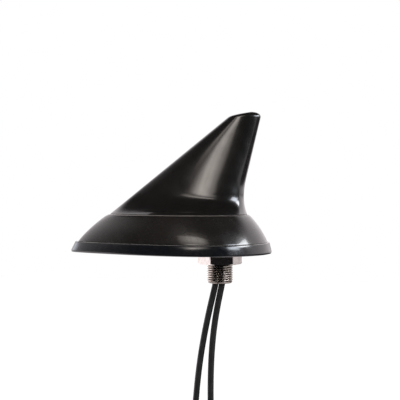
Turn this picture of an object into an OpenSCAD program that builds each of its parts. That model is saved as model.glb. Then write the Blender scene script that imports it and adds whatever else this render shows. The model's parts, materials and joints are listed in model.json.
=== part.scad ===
// Shark fin roof aerial, in millimetres.
// Z 0 is the roof, the Z axis is the stud's axis, the nose points to -X and the tail to +X.

/* [Rubber rim] */
// Nose of the rim ahead of the stud axis
base_front = 83.6; // [80:0.1:88]
// Tail of the rim behind the stud axis
base_rear = 28; // [26:0.1:31]
// Half width of the rim at its widest
base_half_w = 37.8; // [36:0.1:40]
// How far back the widest place of the rim lies
base_egg = 0.53; // [0.45:0.01:0.6]
// Height of the rim above the roof
rim_h = 5.8; // [5.4:0.1:6.6]
// How far the rim's nose leans in from foot to top
rim_lean_front = 2.5; // [1.5:0.1:3]
// How far the rim's tail leans in from foot to top
rim_lean_rear = 1.4; // [0.8:0.1:2]
// How far the rim's sides lean in from foot to top
rim_lean_side = 1.7; // [1:0.1:2.2]
// Radius of the rim's rounded lower lip
rim_lip = 1; // [0.6:0.1:1.4]
// Rounding of the rim's top edge
rim_edge = 0.4; // [0.2:0.1:0.6]
// Thickness of the gasket's floor under the base plate
gasket_floor = 2; // [1.6:0.1:2.4]
// Gap between the earth pad and the hole in the gasket's floor
pad_moat = 2; // [1.5:0.1:3]

/* [Skirt] */
// Width of the rim's ledge that shows ahead of the skirt
ledge_front = 1.5; // [0.8:0.1:2]
// Width of the rim's ledge that shows behind the skirt
ledge_rear = 0.8; // [0.5:0.1:1.5]
// Width of the rim's ledge that shows beside the skirt
ledge_side = 1.1; // [0.6:0.1:1.6]
// Height of the skirt from the rim to the seam
skirt_h = 15.1; // [14:0.1:16]
// Nose of the seam ahead of the stud axis
seam_front = 62.5; // [61:0.1:65]
// Tail of the seam behind the stud axis
seam_rear = 15.7; // [15:0.1:17]
// Half width of the seam at its widest
seam_half_w = 27.7; // [27:0.1:29]
// How far back the widest place of the seam lies
seam_egg = 0.34; // [0.28:0.01:0.4]
// How much the skirt's nose bows outward between rim and seam
bow_front = 0.29; // [0.1:0.01:0.4]
// How much the skirt's tail bows outward between rim and seam
bow_rear = 0.41; // [0.2:0.01:0.5]
// Wall of the skirt, measured level
skirt_wall = 3; // [2.6:0.1:3.4]
// Width of the skirt's top flange, from its outer edge to its opening
flange_w = 4.5; // [4.2:0.1:4.8]
// Thickness of the skirt's top flange
flange_t = 2; // [1.6:0.1:2.4]
// Rounding of the skirt's top edge
skirt_edge = 0.35; // [0.2:0.05:0.5]

/* [Fin] */
// Step of the skirt's top edge that shows outside the fin's foot
seam_step = 1; // [0.6:0.1:1.4]
// Height of the fin's tip above the seam
fin_h = 55.6; // [53:0.1:58]
// Place of the leading edge just under the crown, behind the stud axis
tip_front = 4.2; // [3:0.1:6]
// Place of the trailing edge just under the crown, behind the stud axis
tip_rear = 22.2; // [20:0.1:24]
// How far the fin's tail flares out at its foot
tail_flare = 5.1; // [4:0.1:6]
// Height of the flare at the fin's tail
tail_flare_h = 20.2; // [17:0.1:23]
// Angle from the tail at which the sides meet the rear face, at the fin's foot
foot_corner = 22.5; // [18:0.5:28]
// Angle from the tail at which the sides meet the rear face, at the fin's tip
tip_corner = 40; // [34:1:44]
// Bow of the rear face at the foot, as a share of the fin's half width
foot_bow = 0.08; // [0.06:0.01:0.12]
// Bow of the rear face at the tip, as a share of the fin's half width
tip_bow = 0.28; // [0.2:0.01:0.32]
// Height of the flare at the fin's sides
side_flare_h = 11.5; // [10.5:0.1:13]
// How far back the widest place of the fin's waist lies, just above its flare
waist_egg = 0.4; // [0.3:0.01:0.45]
// How far back the widest place of the fin's tip lies, less than 0 being ahead of its middle
tip_egg = -0.22; // [-0.3:0.01:-0.1]
// Half width of the fin's body above its flared foot
body_half_w = 14; // [13:0.1:15.5]
// Half width of the fin's body just under its tip
tip_half_w = 5.4; // [5:0.1:6]
// Height of the rounded crown at the tip
crown_h = 3.1; // [2.6:0.1:3.6]
// Length of the ridge on top of the crown
crown_ridge = 2.8; // [2:0.1:4]
// How far the crown rounds down into the trailing edge
crown_rear = 5.7; // [5:0.1:6.5]
// Wall of the fin
fin_wall = 2.2; // [1.9:0.1:2.5]
// Thickness of the tongue that drops inside the skirt's opening
tongue_t = 1.4; // [1.2:0.1:1.6]
// Depth of the tongue under the seam
tongue_h = 2.3; // [1.8:0.1:2.8]

/* [Base plate] */
// Thickness of the cast base plate
plate_t = 3; // [2.8:0.1:3.4]
// Radius of the earth pad under the plate
pad_r = 11.5; // [11:0.1:12]
// Gap between the earth pad and the roof before the gasket is squeezed
pad_gap = 0.4; // [0.2:0.1:0.6]
// Height of the stiffening ribs above the plate
rib_h = 1.2; // [0.8:0.1:1.5]
// Width of the stiffening ribs
rib_w = 1.4; // [1.2:0.1:1.8]
// Distance between the crosswise ribs
rib_pitch = 14; // [13:0.5:15]
// Height of the boss round the stud's head, above the plate
stud_boss_h = 1.4; // [1:0.1:1.6]
// Wall of the boss round the stud's head
stud_boss_wall = 2; // [1.6:0.1:2.6]
// Wall of the pillars that carry the main board
pillar_wall = 1.6; // [1.3:0.1:2]

/* [Stud and nut] */
// Outside diameter of the hollow stud's thread
stud_d = 14; // [13.6:0.1:14.2]
// Diameter of the stud's bore
stud_bore_d = 9.5; // [9.2:0.1:10]
// How far the stud reaches under the roof plane
stud_reach = 16.3; // [15.5:0.1:18]
// Chamfer at the stud's end
stud_chamfer = 0.9; // [0.6:0.1:1.1]
// Radius of the stud's head
stud_head_r = 9.4; // [9.1:0.1:9.6]
// Distance across the two flats of the stud's head
stud_head_flats = 16.4; // [16:0.1:17]
// Thickness of the stud's head
stud_head_t = 2.4; // [2:0.1:2.6]
// Depth of the flare at the top of the stud's bore
stud_bore_flare = 3.4; // [3:0.1:3.6]
// Nut size across its flats
nut_flats = 21; // [20:0.1:21.6]
// Nut height
nut_h = 5; // [4.5:0.1:6]
// How far the nut's end faces are turned down inside its flats
nut_edge = 0.4; // [0.2:0.1:0.6]
// Chamfer where the nut's thread starts
nut_lead_in = 1; // [0.6:0.1:1.2]
// Roof sheet that fits between the gasket and the nut
roof_t = 1; // [0.6:0.1:1.4]
// Nut turned from square, in degrees
nut_turn = 14; // [0:1:30]

/* [Boards] */
// Thickness of both circuit boards
board_t = 1.6; // [1.2:0.1:1.8]
// Gap between the base plate and the main board
board_rise = 2; // [1.8:0.1:2.6]
// Margin between the base plate's edge and the main board's
board_margin = 3; // [2.5:0.1:4]
// Side of the square patch aerial
patch_side = 18; // [17:0.1:19]
// Thickness of the patch aerial's ceramic block
patch_t = 4; // [3.2:0.1:5]
// Gap from the patch aerial to the fin's post, the board's front edge and the upright board
patch_gap = 2; // [1.5:0.1:2.5]
// Margin of bare ceramic round the patch aerial's electrode
patch_rim = 1.5; // [1:0.1:2]
// Trimmed corner of the patch aerial's electrode
patch_trim = 2.4; // [1.6:0.1:3]
// Thickness of the patch aerial's electrode
foil_t = 0.2; // [0.1:0.05:0.3]
// Radius of the patch aerial's feed pin
pin_r = 0.6; // [0.4:0.1:0.8]
// Length of the shielding can
can_l = 15; // [13:0.5:17]
// Width of the shielding can
can_w = 7.4; // [6.5:0.1:8]
// Height of the shielding can
can_h = 4; // [3.4:0.1:5]
// Sheet of the shielding can
can_t = 0.4; // [0.3:0.1:0.6]
// Place of the shielding can beside the middle plane
can_side = 9.6; // [9:0.1:10.5]
// Radius of the vent holes in the shielding can
vent_r = 0.8; // [0.5:0.1:1]
// Side of the largest chip
chip_side = 8; // [6:0.5:8]
// Side of the small chips
small_chip_side = 4; // [3:0.5:5]
// Height of the chips
chip_h = 1; // [0.8:0.1:1.4]
// Place of the chips beside the middle plane
chip_off = 10.5; // [10:0.1:11]
// Gap from the fin's waist to the upright board's rear edge
fin_board_back = 1.6; // [1.2:0.1:2.4]
// Length of the upright board's level top edge
fin_board_top = 3.6; // [2.5:0.1:5]
// Length of the upright board's two feet
fin_board_foot = 4; // [3:0.1:4.2]
// Height of the arch between the feet
fin_board_arch = 6.6; // [6:0.1:8]
// Room between the upright board's top and the fin's ridge, measured upright
fin_board_room = 9.5; // [9:0.1:11]
// Half width of the folded top plate
hat_half_w = 2.6; // [2.2:0.1:2.8]
// Depth of the top plate's folded sides
hat_side = 4; // [3:0.1:5]
// Sheet of the top plate
hat_t = 0.5; // [0.4:0.1:0.6]
// Thickness of the foam pad beside the upright board
foam_t = 4.6; // [4:0.1:5]
// Length of the foam pad
foam_l = 12; // [10:0.5:14]
// Height of the foam pad
foam_h = 10; // [8:0.5:12]
// Width of the radiator's copper track
track_w = 1.6; // [1:0.1:2]
// Thickness of the radiator's copper track
track_t = 0.2; // [0.1:0.05:0.3]
// Distance from one run of the track to the next
track_pitch = 4.4; // [3.6:0.1:5.5]
// Margin between the track and the upright board's edges
track_edge = 2; // [1.5:0.1:3]

/* [Coil] */
// Length of the coil's bobbin
coil_l = 12; // [10:0.5:13]
// Front end of the bobbin ahead of the stud axis
coil_front = 14; // [13:0.5:16]
// Height of the coil's axis above the seam
coil_rise = 1.2; // [0.5:0.1:2]
// Half the side of the bobbin's square ends
coil_half = 3.6; // [3.2:0.1:4]
// Thickness of the bobbin's ends
coil_end_t = 1; // [0.8:0.1:1.4]
// Radius of the bobbin's core
coil_core_r = 1.7; // [1.4:0.1:2]
// Radius of the hole through the bobbin
coil_hole_r = 0.9; // [0.6:0.1:1]
// Wire of the winding
coil_wire = 1; // [0.8:0.1:1.2]
// Gap between the winding and the bobbin's ends
coil_end_gap = 0.4; // [0.2:0.1:0.6]

/* [Screws] */
// Radius of the posts that hold the skirt
skirt_post_r = 2.8; // [2.5:0.1:3]
// Height of the posts that hold the skirt
skirt_post_h = 9; // [8.5:0.1:10]
// Radius of the posts that hold the fin
fin_post_r = 3.2; // [3:0.1:3.4]
// How far the fin's posts reach above the seam
fin_post_up = 2.6; // [2:0.1:3]
// How far a post runs into the wall that carries it
post_bite = 0.8; // [0.6:0.1:1]
// Thickness of the webs between the skirt's posts and its wall
web_t = 1.4; // [1.2:0.1:1.8]
// Height of the webs
web_h = 4; // [3:0.1:5]
// Metal left round each countersunk hole at the base plate's edge
hole_edge = 1.7; // [1.4:0.1:2]
// Radius of the case screws' shanks
case_screw_r = 1.5; // [1.3:0.1:1.6]
// Radius of the case screws' heads
case_head_r = 2.8; // [2.6:0.1:3]
// Height of the case screws' heads
case_head_h = 1.4; // [1.2:0.1:1.6]
// Depth of the case screws in their posts
case_screw_bite = 6; // [5:0.5:6.5]
// Depth of the pilot holes past the screws' ends
pilot_room = 1.5; // [1:0.1:2]
// Radius of the board screws' shanks
board_screw_r = 1.25; // [1.1:0.05:1.4]
// Radius of the board screws' heads
board_head_r = 2.3; // [2.1:0.1:2.6]
// Height of the board screws' heads
board_head_h = 1.2; // [1:0.1:1.6]
// Depth of the board screws in their pillars
board_screw_bite = 1.5; // [1.2:0.1:2]
// Gap between a board screw's head and the patch aerial
board_screw_gap = 1.7; // [1:0.1:2]
// Metal and board left behind the rear board screw's axis
board_screw_edge = 3.4; // [3:0.1:3.6]
// Width of the slots in the screws' cross recesses
recess_w = 0.6; // [0.5:0.1:0.8]

/* [Leads] */
// Outside diameter of each lead
lead_d = 3.4; // [3:0.1:3.4]
// Width of each lead's plug
plug_w = 8.4; // [8:0.1:9]
// Length of each lead's plug
plug_l = 19; // [17:0.5:21]
// Length of the crimped sleeve behind each plug
sleeve_l = 7; // [6:0.5:9]
// Wall of the crimped sleeve
sleeve_wall = 0.9; // [0.7:0.1:1.1]
// Length of each soldered clip
clip_l = 4.4; // [3.5:0.1:5]
// Wall of each soldered clip
clip_wall = 0.6; // [0.4:0.1:0.8]
// Length of each lead inside its clip
clip_over = 1.4; // [1:0.1:2]
// Height of the grommet in the stud's bore
grommet_h = 4.4; // [3.5:0.1:5]
// Distance from the stud's end up to the grommet
grommet_up = 3.7; // [3:0.1:5]

/* [Plugs] */
// Rounding of each plug's corners
plug_round = 1.2; // [0.8:0.1:1.5]
// Wall round each plug's mouth
plug_wall = 0.9; // [0.8:0.1:1]
// Depth of each plug's wide mouth
plug_mouth = 8; // [6:0.5:9]
// Wall between each plug's socket and its lead
plug_back = 2; // [1.5:0.1:2.5]
// Radius of each plug's metal tube
contact_r = 2.6; // [2.4:0.1:2.8]
// Wall of each plug's metal tube
contact_wall = 0.6; // [0.4:0.1:0.8]
// Radius of each plug's centre pin
contact_pin_r = 0.45; // [0.3:0.05:0.6]
// Thickness of the disc that closes each plug's metal tube
contact_disc = 1.5; // [1:0.1:2]
// How far the metal tube stands back in its plug
contact_in = 2; // [1:0.1:3]
// Width of the two keys on each plug
key_w = 1; // [0.8:0.1:1.4]
// Height of the two keys on each plug
key_h = 0.8; // [0.6:0.1:1]
// Distance between the two keys
key_pitch = 5.2; // [4.5:0.1:5.4]
// Width of each plug's latch tongue
latch_w = 3.2; // [2.6:0.1:4]
// Height of each plug's latch tongue
latch_h = 1; // [0.8:0.1:1.2]

/* [Clearances] */
// Gap between moulded or cast pieces that fit into each other
fit_gap = 0.3; // [0.2:0.05:0.4]
// Gap round screws, thread and leads
bore_gap = 0.12; // [0.08:0.01:0.15]

/* [Hidden] */

// Points round each moulded outline
ring_n = 48;
// Steps from the middle of the fin's rear face to each of its corners
face_n = 3;
$fn = 48;

// Levels from the roof up
plate_z = gasket_floor;
plate_top = plate_z + plate_t;
board_z = plate_top + board_rise;
board_top = board_z + board_t;
seam_z = rim_h + skirt_h;
fin_waist = seam_z + side_flare_h;
fin_top = seam_z + fin_h;
crown_z = fin_top - crown_h;
stud_r = stud_d / 2;
stud_head_z = plate_top + stud_boss_h - stud_head_t;
nut_z = -roof_t - nut_h;
coil_z = seam_z + coil_rise;
skirt_post_top = plate_top + skirt_post_h;

// Outlines are [nose, tail, half width, egg], the first two measured from the stud axis
base_outline = [base_front, base_rear, base_half_w, base_egg];
rim_outline = drawn_in(base_outline, rim_lean_front, rim_lean_rear, rim_lean_side);
skirt_foot = drawn_in(rim_outline, ledge_front, ledge_rear, ledge_side);
skirt_inside = drawn_in(skirt_foot, skirt_wall, skirt_wall, skirt_wall);
plate_outline = drawn_in(skirt_inside, fit_gap, fit_gap, fit_gap);
board_outline = drawn_in(plate_outline, board_margin, board_margin, board_margin);
seam_outline = [seam_front, seam_rear, seam_half_w, seam_egg];
fin_foot = drawn_in(seam_outline, seam_step, seam_step, seam_step);
tongue_in = flange_w + fit_gap;

// The fin's edges: slope of the leading one, lean of the trailing one, and the crown's rounding in front
lead_angle = atan((crown_z - seam_z) / (fin_foot[0] + tip_front));
trail_slope = (tip_rear - fin_foot[1] + tail_flare) / (crown_z - seam_z);
crown_front = tip_rear - tip_front - crown_ridge - crown_rear;

// Places of the skirt's posts: against its wall at their tops, and clear of the base plate's edge
post_share = (skirt_post_top - rim_h) / skirt_h;
post_wall = skirt_outline(post_share);
skirt_post_in = skirt_wall + skirt_post_r - post_bite;
screw_in = case_head_r + fit_gap + hole_edge;
skirt_post_outline = inside_both(
  drawn_in(post_wall, skirt_post_in, skirt_post_in, skirt_post_in),
  drawn_in(plate_outline, screw_in, screw_in, screw_in)
);
skirt_post_angles = [30, -30, 70, -70, 150, -150];
skirt_screw_at = [for (a = skirt_post_angles) egg_point(skirt_post_outline, a)];

// Places of the fin's posts: one in the nose and two beside the stud, each run into the tongue
cover_post_in = tongue_in + tongue_t + fin_post_r - post_bite;
cover_outline = drawn_in(seam_outline, cover_post_in, cover_post_in, cover_post_in);
cover_screw_at = [for (a = [180, 45, -45]) egg_point(cover_outline, a)];

// Places along the boards, each measured ahead of the stud axis
patch_front = cover_outline[0] - fin_post_r - patch_gap - patch_side / 2;
board_front = patch_front + patch_side / 2 + patch_gap;
fin_board_front = patch_front - patch_side / 2 - patch_gap;
can_rear = -cover_screw_at[1][0] + fin_post_r + patch_gap;

// Rear edge of the upright board, behind the stud axis
fin_board_rear = fin_foot[1] - tail_flare - fin_board_back;

// Places of the board screws: beside the patch aerial and near the board's tail
board_screw_side = patch_side / 2 + board_head_r + board_screw_gap;
board_screw_at = [
  [-patch_front, board_screw_side],
  [-patch_front, -board_screw_side],
  [board_outline[1] - board_screw_edge, 0]
];

// Centre of the hole in the main board where the leads come up, and its radius
lead_hole = [-2.8, 0];
lead_hole_r = 6.5;

// How far a cut runs past the face it opens
cut = 1;

// Routes of the two leads, from their clips on the board down the stud and on to their plugs
front_route = [
  [-11, -3, 10.9], [-9.6, -3, 10.9], [-6.7, -2.9, 10.3], [-4.3, -2.6, 8.7], [-2.7, -2.1, 6.3],
  [-2.1, -1.5, 3.4], [-2.1, -0.8, 0], [-2.1, -0.3, -4], [-2.1, 0, -8], [-2.1, 0, -13],
  [-2.5, 0, -17], [-3.6, 0, -22], [-5, 0, -28], [-6.8, 0, -36], [-8.8, 0, -46], [-10.8, 0, -58],
  [-12.5, 0, -72], [-13.8, 0, -88], [-14.6, 0, -105], [-15, 0, -123], [-15, 0, -140], [-15, 0, -156]
];
rear_route = [
  [-11, 3, 10.9], [-6.1, 3, 10.9], [-3.2, 2.9, 10.3], [-0.8, 2.6, 8.7], [0.8, 2.1, 6.3],
  [1.4, 1.5, 3.4], [1.4, 0.8, 0], [1.4, 0.3, -4], [1.4, 0, -8], [1.4, 0, -13],
  [1.1, 0, -17], [0.1, 0, -22], [-1.1, 0, -28], [-2.5, 0, -36], [-3.8, 0, -46], [-4.7, 0, -58],
  [-5.1, 0, -72], [-5, 0, -88], [-4.6, 0, -105], [-4.2, 0, -123], [-4, 0, -142], [-4, 0, -160], [-4, 0, -176]
];

// An outline drawn in by its own distance at the nose, the tail and the sides
function drawn_in(o, nose, tail, side) = [o[0] - nose, o[1] - tail, o[2] - side, o[3]];

// The outline that stays inside two others, with the egg of the first
function inside_both(a, b) = [min(a[0], b[0]), min(a[1], b[1]), min(a[2], b[2]), a[3]];

// Widest half width of an egg whose sine half width is 1
function egg_peak(k) =
  let (c = k == 0 ? 0 : (sqrt(1 + 8 * k * k) - 1) / (4 * k))
  sqrt(1 - c * c) * (1 + k * c);

// Point of an outline at angle a, with 0 at the tail
function egg_point(o, a) = [
  (o[1] - o[0]) / 2 + (o[1] + o[0]) / 2 * cos(a),
  o[2] / egg_peak(o[3]) * sin(a) * (1 + o[3] * cos(a))
];

// An outline's points, flat or at a level
function egg_flat(o) = [for (i = [0:ring_n - 1]) egg_point(o, 360 * i / ring_n)];
function egg_ring(o, z) = [for (p = egg_flat(o)) [p[0], p[1], z]];

// Share of the way from foot to seam at which a bowed wall stands, at share t of its height
function bowed(t, bow) = t * (1 - bow) + bow * t * t;
function mix(a, b, t) = a + (b - a) * t;

// The skirt's outline at share t of its height
function skirt_outline(t) = [
  mix(skirt_foot[0], seam_outline[0], bowed(t, bow_front)),
  mix(skirt_foot[1], seam_outline[1], bowed(t, bow_rear)),
  mix(skirt_foot[2], seam_outline[2], bowed(t, (bow_front + bow_rear) / 2)),
  mix(skirt_foot[3], seam_outline[3], t)
];

// What is left of a flare of height h at height z above the seam
function flare_left(z, h) = max(0, 1 - (z - seam_z) / h);

// Share of the way from the seam to the crown at level z
function fin_rise(z) = min(1, (z - seam_z) / (crown_z - seam_z));

// How far back the fin's widest place lies at level z
function fin_egg(z) =
  z < fin_waist
    ? mix(seam_egg, waist_egg, (z - seam_z) / side_flare_h)
    : mix(waist_egg, tip_egg, min(1, (z - fin_waist) / (crown_z - fin_waist)));

// The fin's outline at level z, with the crown closing over the tip
function fin_outline(z) =
  let (w = max(0, (z - crown_z) / crown_h), open = sqrt(max(0, 1 - w * w)))
  let (body = tip_half_w + (body_half_w - tip_half_w) * pow(1 - fin_rise(z), 1.1))
  let (foot = (fin_foot[2] - body_half_w) * pow(flare_left(z, side_flare_h), 1.6))
  [
    fin_foot[0] - (z - seam_z) / tan(lead_angle) - crown_front * pow(w, 2.3),
    fin_foot[1] - tail_flare * (1 - pow(flare_left(z, tail_flare_h), 2.4))
      + (z - seam_z) * trail_slope - crown_rear * (1 - open),
    (body + foot) * max(0.06, open),
    fin_egg(z)
  ];

// The points of a fin outline at level z: the bowed rear face between its corners, then the sides
function fin_ring(o, z) =
  let (corner = mix(foot_corner, tip_corner, fin_rise(z)), bow = mix(foot_bow, tip_bow, fin_rise(z)) * o[2])
  let (past = (2 * (o[1] - bow) + o[0] * (1 - cos(corner))) / (1 + cos(corner)))
  let (sides = [o[0], past, o[2], o[3]], half_face = egg_point(sides, corner)[1])
  [
    for (i = [0:ring_n - 1])
      let (step = i < ring_n / 2 ? i : i - ring_n, share = step / face_n)
      let (past_corner = (abs(step) - face_n) / (ring_n / 2 - face_n))
      let (p = abs(share) < 1
        ? [o[1] - bow * share * share, half_face * share]
        : egg_point(sides, sign(step) * mix(corner, 180, past_corner)))
      [p[0], p[1], z]
  ];

// The fin's inner face at level z
function fin_inside(z) = drawn_in(fin_outline(z), fin_wall / sin(lead_angle), fin_wall, fin_wall);

// Joins rings of equal count into a closed skin, with a flat cap on the first ring and the last
module skin(rings) {
  n = len(rings[0]);
  m = len(rings);
  sides = [
    for (k = [0:m - 2], i = [0:n - 1])
      let (a = k * n + i, b = k * n + (i + 1) % n)
      each [[a, a + n, b], [b, a + n, b + n]]
  ];
  first_cap = [for (i = [0:n - 1]) i];
  last_cap = [for (i = [n - 1:-1:0]) (m - 1) * n + i];
  polyhedron([for (r = rings) each r], concat([first_cap], sides, [last_cap]), convexity = 8);
}

// Joins rings into a closed loop, as round a tube wall, with no caps
module loop_skin(rings) {
  n = len(rings[0]);
  m = len(rings);
  polyhedron(
    [for (r = rings) each r],
    [
      for (k = [0:m - 1], i = [0:n - 1])
        let (a = k * n + i, b = k * n + (i + 1) % n, c = ((k + 1) % m) * n)
        each [[a, c + i, b], [b, c + i, c + (i + 1) % n]]
    ],
    convexity = 8
  );
}

// Rings of the fin's outer face, from its foot to its tip
fin_levels = concat(
  [for (share = [0, 0.09, 0.18, 0.3, 0.42, 0.56, 0.74, 1]) mix(seam_z, fin_waist, share)],
  [for (i = [1:8]) mix(fin_waist, crown_z, i / 8)],
  [for (i = [1:5]) crown_z + crown_h * sin(18 * i)]
);
fin_outer_rings = [for (z = fin_levels) fin_ring(fin_outline(z), z)];

// Rings of the fin's inner face, from its ceiling down to the tongue
fin_ceiling = crown_z - fin_wall;
fin_inner_rings = concat(
  [for (i = [0:6]) let (z = mix(fin_ceiling, fin_waist, i / 6)) fin_ring(fin_inside(z), z)],
  [for (share = [0.7, 0.44, 0.21]) let (z = mix(seam_z, fin_waist, share)) fin_ring(fin_inside(z), z)]
);

// Rings round the fin's foot: down the tongue's inner face and back up to the seam
fin_foot_rings = [
  for (ring = [[tongue_t, fin_wall], [tongue_t, -tongue_h], [0, -tongue_h], [0, 0]])
    let (d = tongue_in + ring[0])
    egg_ring(drawn_in(seam_outline, d, d, d), seam_z + ring[1])
];

// A post that stands on the base plate, with a pilot hole for its screw and any web that is drawn after it
module screw_post(at, r, top) {
  translate([at[0], at[1], plate_top])
    difference() {
      union() {
        cylinder(r = r, h = top - plate_top);
        children();
      }
      translate([0, 0, -cut])
        cylinder(r = case_screw_r + bore_gap, h = cut + case_screw_bite + pilot_room);
    }
}

// Moulded fin with its tongue and the posts that its screws bite into
module fin_cover() {
  color("#141416") {
    skin(concat(fin_inner_rings, fin_foot_rings, fin_outer_rings));
    for (p = cover_screw_at)
      screw_post(p, fin_post_r, seam_z + fin_post_up);
  }
}

// Moulded skirt with its top flange and the posts that its screws bite into
module skirt_shell() {
  outer = [
    for (t = [0, 0.08, 0.2, 0.35, 0.5, 0.65, 0.8, 0.92])
      egg_ring(skirt_outline(t), mix(rim_h, seam_z, t))
  ];
  edge = [
    egg_ring(skirt_outline(1 - skirt_edge / skirt_h), seam_z - skirt_edge),
    egg_ring(drawn_in(seam_outline, skirt_edge, skirt_edge, skirt_edge), seam_z)
  ];
  flange = [
    egg_ring(drawn_in(seam_outline, flange_w, flange_w, flange_w), seam_z),
    egg_ring(drawn_in(seam_outline, flange_w, flange_w, flange_w), seam_z - flange_t)
  ];
  inner = [
    for (t = [1 - (flange_t + bore_gap) / skirt_h, 0.7, 0.5, 0.3, 0.12, 0])
      egg_ring(drawn_in(skirt_outline(t), skirt_wall, skirt_wall, skirt_wall), mix(rim_h, seam_z, t))
  ];
  color("#18181a") {
    loop_skin(concat(outer, edge, flange, inner));
    for (a = skirt_post_angles) {
      post = egg_point(skirt_post_outline, a);
      away = egg_point(drawn_in(post_wall, post_bite, post_bite, post_bite), a) - post;
      screw_post(post, skirt_post_r, skirt_post_top)
        translate([0, 0, skirt_post_h - web_h])
          rotate([0, 0, atan2(away[1], away[0])])
            translate([0, -web_t / 2, 0])
              cube([norm(away), web_t, web_h]);
    }
  }
}

// Rubber gasket: a tray whose rim shows round the skirt and whose flat floor lies on the roof
module base_gasket() {
  lip = [
    for (a = [0, 30, 60, 90])
      let (d = rim_lip * (1 - sin(a)))
      egg_ring(drawn_in(base_outline, d, d, d), rim_lip * (1 - cos(a)))
  ];
  top = [
    egg_ring(rim_outline, rim_h - rim_edge),
    egg_ring(drawn_in(rim_outline, rim_edge, rim_edge, rim_edge), rim_h)
  ];
  tray = [egg_ring(skirt_inside, rim_h), egg_ring(skirt_inside, gasket_floor)];
  color("#1b1b1c")
    difference() {
      skin(concat(lip, top, tray));
      translate([0, 0, -cut])
        cylinder(r = pad_r + pad_moat, h = gasket_floor + 2 * cut);
    }
}

// The plan of the main board, with room for every post that passes it
module board_plan() {
  difference() {
    intersection() {
      polygon(egg_flat(board_outline));
      translate([-board_front, -base_half_w])
        square([board_front + base_rear, 2 * base_half_w]);
    }
    translate(lead_hole)
      circle(r = lead_hole_r);
    for (p = cover_screw_at)
      translate(p)
        circle(r = fin_post_r + 2 * fit_gap);
    for (p = skirt_screw_at)
      translate(p)
        circle(r = skirt_post_r + 2 * fit_gap);
    for (p = board_screw_at)
      translate(p)
        circle(r = board_screw_r + bore_gap);
  }
}

// The stud's head seen from above: a disc with two flats
module head_plan(gap) {
  intersection() {
    circle(r = stud_head_r + gap);
    square([2 * (stud_head_r + gap + cut), stud_head_flats + 2 * gap], center = true);
  }
}

// Ribs that stiffen the base plate
module plate_ribs() {
  inner = drawn_in(plate_outline, rib_w, rib_w, rib_w);
  translate([0, 0, plate_z])
    linear_extrude(plate_t + rib_h)
      difference() {
        intersection() {
          union() {
            for (x = [-rib_pitch / 2:-rib_pitch:-inner[0]])
              translate([x, 0])
                square([rib_w, 2 * base_half_w], center = true);
            translate([rib_pitch / 2, 0])
              square([rib_w, 2 * base_half_w], center = true);
            translate([-inner[0], -rib_w / 2])
              square([inner[0] + inner[1], rib_w]);
          }
          polygon(egg_flat(inner));
        }
        for (p = cover_screw_at)
          translate(p)
            circle(r = fin_post_r + 2 * fit_gap);
        for (p = skirt_screw_at)
          translate(p)
            circle(r = skirt_post_r + 2 * fit_gap);
        circle(r = stud_head_r + fit_gap);
      }
}

// Cast base plate: earth pad, boss for the stud's head, ribs, board pillars and countersunk screw holes
module base_plate() {
  color("#a9abad")
    difference() {
      union() {
        translate([0, 0, plate_z])
          linear_extrude(plate_t)
            polygon(egg_flat(plate_outline));
        translate([0, 0, pad_gap])
          cylinder(r = pad_r, h = plate_z);
        translate([0, 0, plate_z])
          cylinder(r = stud_head_r + stud_boss_wall, h = plate_t + stud_boss_h);
        plate_ribs();
        for (p = board_screw_at)
          translate([p[0], p[1], plate_z])
            cylinder(r = board_screw_r + pillar_wall, h = board_z - plate_z);
      }
      cylinder(r = stud_r + bore_gap, h = board_z);
      translate([0, 0, stud_head_z])
        linear_extrude(stud_head_t + cut)
          head_plan(fit_gap);
      for (p = concat(skirt_screw_at, cover_screw_at))
        translate([p[0], p[1], plate_z - cut]) {
          cylinder(r = case_screw_r + bore_gap, h = plate_t + 2 * cut);
          cylinder(r = case_head_r + fit_gap, h = cut + case_head_h + fit_gap);
        }
      for (p = board_screw_at)
        translate([p[0], p[1], plate_top])
          cylinder(r = board_screw_r + bore_gap, h = board_rise + cut);
    }
}

// Hollow stud: flatted head in the base plate, plain shank where the thread is, bore for the leads
module roof_stud() {
  head_top = stud_head_z + stud_head_t;
  bore_r = stud_bore_d / 2;
  mouth = stud_r - bore_r - stud_chamfer;
  color("#c9c3b8")
    difference() {
      union() {
        translate([0, 0, stud_head_z])
          linear_extrude(stud_head_t)
            head_plan(0);
        rotate_extrude()
          polygon([
            [0, head_top], [0, -stud_reach], [stud_r - stud_chamfer, -stud_reach],
            [stud_r, stud_chamfer - stud_reach], [stud_r, stud_head_z], [bore_r + cut, stud_head_z],
            [bore_r + cut, head_top]
          ]);
      }
      rotate_extrude()
        polygon([
          [0, -stud_reach - cut], [bore_r + mouth / 2, -stud_reach - cut], [bore_r + mouth / 2, -stud_reach],
          [bore_r, mouth - stud_reach], [bore_r, head_top - stud_bore_flare],
          [bore_r + stud_bore_flare / 2, head_top], [bore_r + stud_bore_flare / 2, head_top + cut],
          [0, head_top + cut]
        ]);
    }
}

// Hexagon nut with turned chamfers at both ends
module fixing_nut() {
  corner_r = nut_flats / 2 / cos(30);
  face_r = nut_flats / 2 - nut_edge;
  drop = (corner_r - face_r) * tan(30);
  thread_r = stud_r + bore_gap;
  color("#bdb6aa")
    translate([0, 0, nut_z])
      rotate([0, 0, nut_turn])
        difference() {
          intersection() {
            cylinder(r = corner_r, h = nut_h, $fn = 6);
            rotate_extrude()
              polygon([
                [0, 0], [face_r, 0], [corner_r, drop], [corner_r, nut_h - drop], [face_r, nut_h], [0, nut_h]
              ]);
          }
          rotate_extrude()
            polygon([
              [0, -cut], [thread_r + nut_lead_in, -cut], [thread_r + nut_lead_in, 0], [thread_r, nut_lead_in],
              [thread_r, nut_h - nut_lead_in], [thread_r + nut_lead_in, nut_h],
              [thread_r + nut_lead_in, nut_h + cut], [0, nut_h + cut]
            ]);
        }
}

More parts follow.
